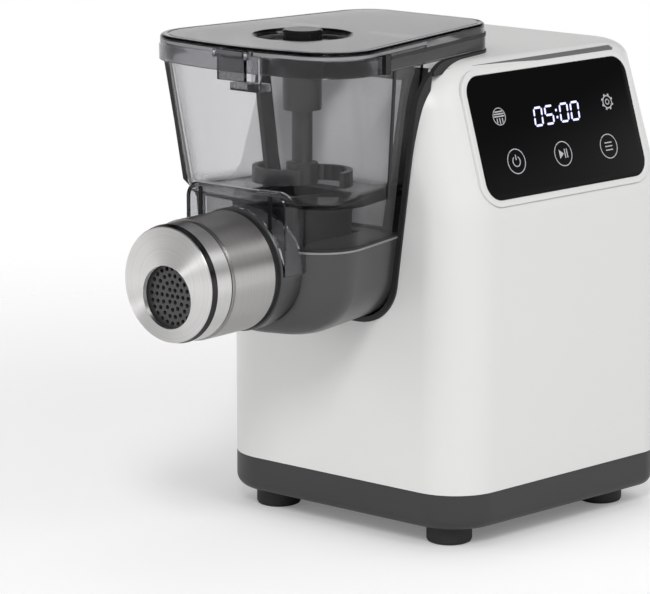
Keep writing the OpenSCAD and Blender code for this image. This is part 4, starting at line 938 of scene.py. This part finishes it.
def make_seam():
    """Black line round the seam of neck and lower housing, with a pale band under it that is a painted highlight
    along the lower housing's top edge.
    """
    # the second row is the pale band, a painted highlight
    for name, low, high, out, finish, slot in (("seam_line", 0.1, 1.7, SEAM_PROUD, "black_rubber", "rubber"),
            ("seam_bead", -1.3, -0.1, HIGHLIGHT_PROUD, "highlight_satin", "dark_housing")):
        section = [(low, 0.1, 0), (low, 0.2 - out, 0), (low, -out, 0.2), (high, -out, -0.2), (high, 0.2 - out, 0),
            (high, 0.1, 0)]
        rings = [[(x, y, z + up) for x, y, z in hopper_ring(SEAM_Z + at, NECK_Y, d)] for at, d, up in section]
        loft(name, rings, finish, "machine", hoop=True, sharp=PANEL_SHARP)


def make_cap_reflection_ring():
    """Dark ring over the bevel behind the edge of the cap's face: a painted reflection of the dark surroundings that
    the bevel mirrors.
    """
    section = [(0.55, CAP_R - 1.2), (0.55, CAP_R - 0.72), (4.2, CAP_R + 0.08), (4.2, CAP_R - 0.5)]
    rings = [[(r * c, CAP_EDGE_Y + y, AXIS_Z + r * s) for c, s in circle(128)] for y, r in section]
    loft("cap_bevel", rings, "steel_dark_reflection", "cap", hoop=True, sharp=60)


def let_light_in():
    """The clear pieces throw no dark shadow into the hopper."""
    for piece in bpy.data.objects:
        if piece.type == "MESH" and any(m and m.name.startswith("smoky") for m in piece.data.materials):
            piece.visible_shadow = False


# ---------------------------------------------------------------- marks on the glass
def mark(name, outlines, color="icon_white"):
    """Thin raised shapes on the glass. Each outline is a list of (across, up) points, in millimetres."""
    points, faces = [], []
    for outline in outlines:
        base, n = len(points), len(outline)
        for x in (MARK_LOW, MARK_TOP):
            points += [(x, y, z) for y, z in outline]
        faces += [tuple(base + n + i for i in range(n))]
        faces += [(base + i, base + (i + 1) % n, base + n + (i + 1) % n, base + n + i) for i in range(n)]
    return new_piece(name, points, faces, color, "machine", turn=SIDE)


def stroke(a, b, w):
    """Straight bar from a to b, w wide."""
    (x0, y0), (x1, y1) = a, b
    l = math.hypot(x1 - x0, y1 - y0)
    u, v = (x1 - x0) / l, (y1 - y0) / l
    p, q = -v * w / 2, u * w / 2
    return [(x0 + p, y0 + q), (x0 - p, y0 - q), (x1 - p, y1 - q), (x1 + p, y1 + q)]


def arc_band(centre, r, w, a0, a1, steps=40):
    """Quads along an arc, from angle a0 to a1 in degrees."""
    cx, cy = centre

    def at(radius, a):
        return cx + radius * math.cos(math.radians(a)), cy + radius * math.sin(math.radians(a))
    cuts = [a0 + (a1 - a0) * k / steps for k in range(steps + 1)]
    return [[at(r - w / 2, a), at(r + w / 2, a), at(r + w / 2, b), at(r - w / 2, b)]
        for a, b in zip(cuts, cuts[1:])]


def make_marks():
    """Icons, key rings and the clock's digits, all plain and without words."""
    for name, at in (("power", KEY_POWER), ("play", KEY_PLAY), ("menu", KEY_MENU)):
        mark("ring_" + name, arc_band(at, KEY_R, 0.55, 0, 360, 56))
    x, y = KEY_POWER
    mark("icon_power", arc_band((x, y), 3.0, FINE, 125, 415, 30) + [stroke((x, y + 0.8), (x, y + 3.9), FINE)])
    x, y = KEY_PLAY
    mark("icon_play", [[(x - 3.3, y + 2.7), (x - 3.3, y - 2.7), (x + 0.4, y)]]
        + [stroke((x + d, y + 2.7), (x + d, y - 2.7), THICK) for d in (1.5, 3.3)])
    x, y = KEY_MENU
    mark("icon_menu", [stroke((x - 3.1, y + d), (x + 3.1, y + d), FINE) for d in (-2.2, 0, 2.2)])
    mark("icon_bowl", bowl(*ICON_BOWL))
    mark("icon_gear", gear(*ICON_GEAR))
    mark("clock_digits", clock(*CLOCK), "digit_light")


def bowl(x, y):
    """Round bowl with level and hanging bars."""
    shapes, r = arc_band((x, y), 5.0, 0.5, 0, 360, 40), 4.6
    for h in (2.9, 1.5, 0.1):
        half = math.sqrt(r ** 2 - h ** 2) - 0.3
        shapes.append(stroke((x - half, y + h), (x + half, y + h), THICK))
    for d in (-2.2, 0, 2.2):
        shapes.append(stroke((x + d, y - 1.0), (x + d, y - math.sqrt(r ** 2 - d ** 2) + 0.2), THICK))
    return shapes


def gear(x, y):
    """Ring with a hub and eight teeth."""
    shapes = arc_band((x, y), 3.7, 0.7, 0, 360, 40) + arc_band((x, y), 1.5, 0.6, 0, 360, 28)
    for k in range(8):
        a = math.radians(45 * k + 22.5)
        shapes.append(stroke(*[(x + r * math.cos(a), y + r * math.sin(a)) for r in (3.8, 5.0)], 1.3))
    return shapes


SEGMENTS = {"0": "abcdef", "5": "afgcd"}


def digit(char, x, y):
    """Seven bevelled bars of a clock digit, whose lower left corner is at x and y."""
    w, h, b, gap = DIGIT_W, DIGIT_H, DIGIT_BAR, 0.35
    slant = math.tan(math.radians(6))

    def flat(x0, x1, yy):
        return [(x0 + gap, yy), (x0 + gap + b / 2, yy + b / 2), (x1 - gap - b / 2, yy + b / 2), (x1 - gap, yy),
            (x1 - gap - b / 2, yy - b / 2), (x0 + gap + b / 2, yy - b / 2)]

    def upright(xx, y0, y1):
        return [(xx, y0 + gap), (xx + b / 2, y0 + gap + b / 2), (xx + b / 2, y1 - gap - b / 2), (xx, y1 - gap),
            (xx - b / 2, y1 - gap - b / 2), (xx - b / 2, y0 + gap + b / 2)]
    bars = {"a": flat(0, w, h), "g": flat(0, w, h / 2), "d": flat(0, w, 0), "f": upright(0, h / 2, h),
        "b": upright(w, h / 2, h), "e": upright(0, 0, h / 2), "c": upright(w, 0, h / 2)}
    return [[(x + px + py * slant, y + py) for px, py in bars[s]] for s in SEGMENTS[char]]


def clock(x, y):
    """Four digits, with a colon in the middle."""
    shapes = []
    for k, char in enumerate("0500"):
        shapes += digit(char, x + k * DIGIT_STEP + (COLON_W if k > 1 else 0), y)
    middle = x + 2 * DIGIT_STEP + (COLON_W - DIGIT_STEP + DIGIT_W) / 2 + 0.4
    dot = ((-0.7, -0.7), (0.7, -0.7), (0.9, 0.7), (-0.5, 0.7))
    for up in (0.3, 0.7):
        shapes.append([(middle + dx, y + DIGIT_H * up + dy) for dx, dy in dot])
    return shapes


# ---------------------------------------------------------------- the scene
make_camera()
make_studio()
make_floor(floor_material())
dress_nodes()
make_tower()
make_tray()
make_bezel()
make_lower_housing()
make_hopper()
make_lid()
make_guard()
make_wall_strip()
make_corner_shade_strip()
make_lid_trims()
make_rim_border()
make_guard_ribs()
make_seam()
make_cap_reflection_ring()
make_marks()
let_light_in()

bpy.context.scene.view_settings.view_transform = "Standard"
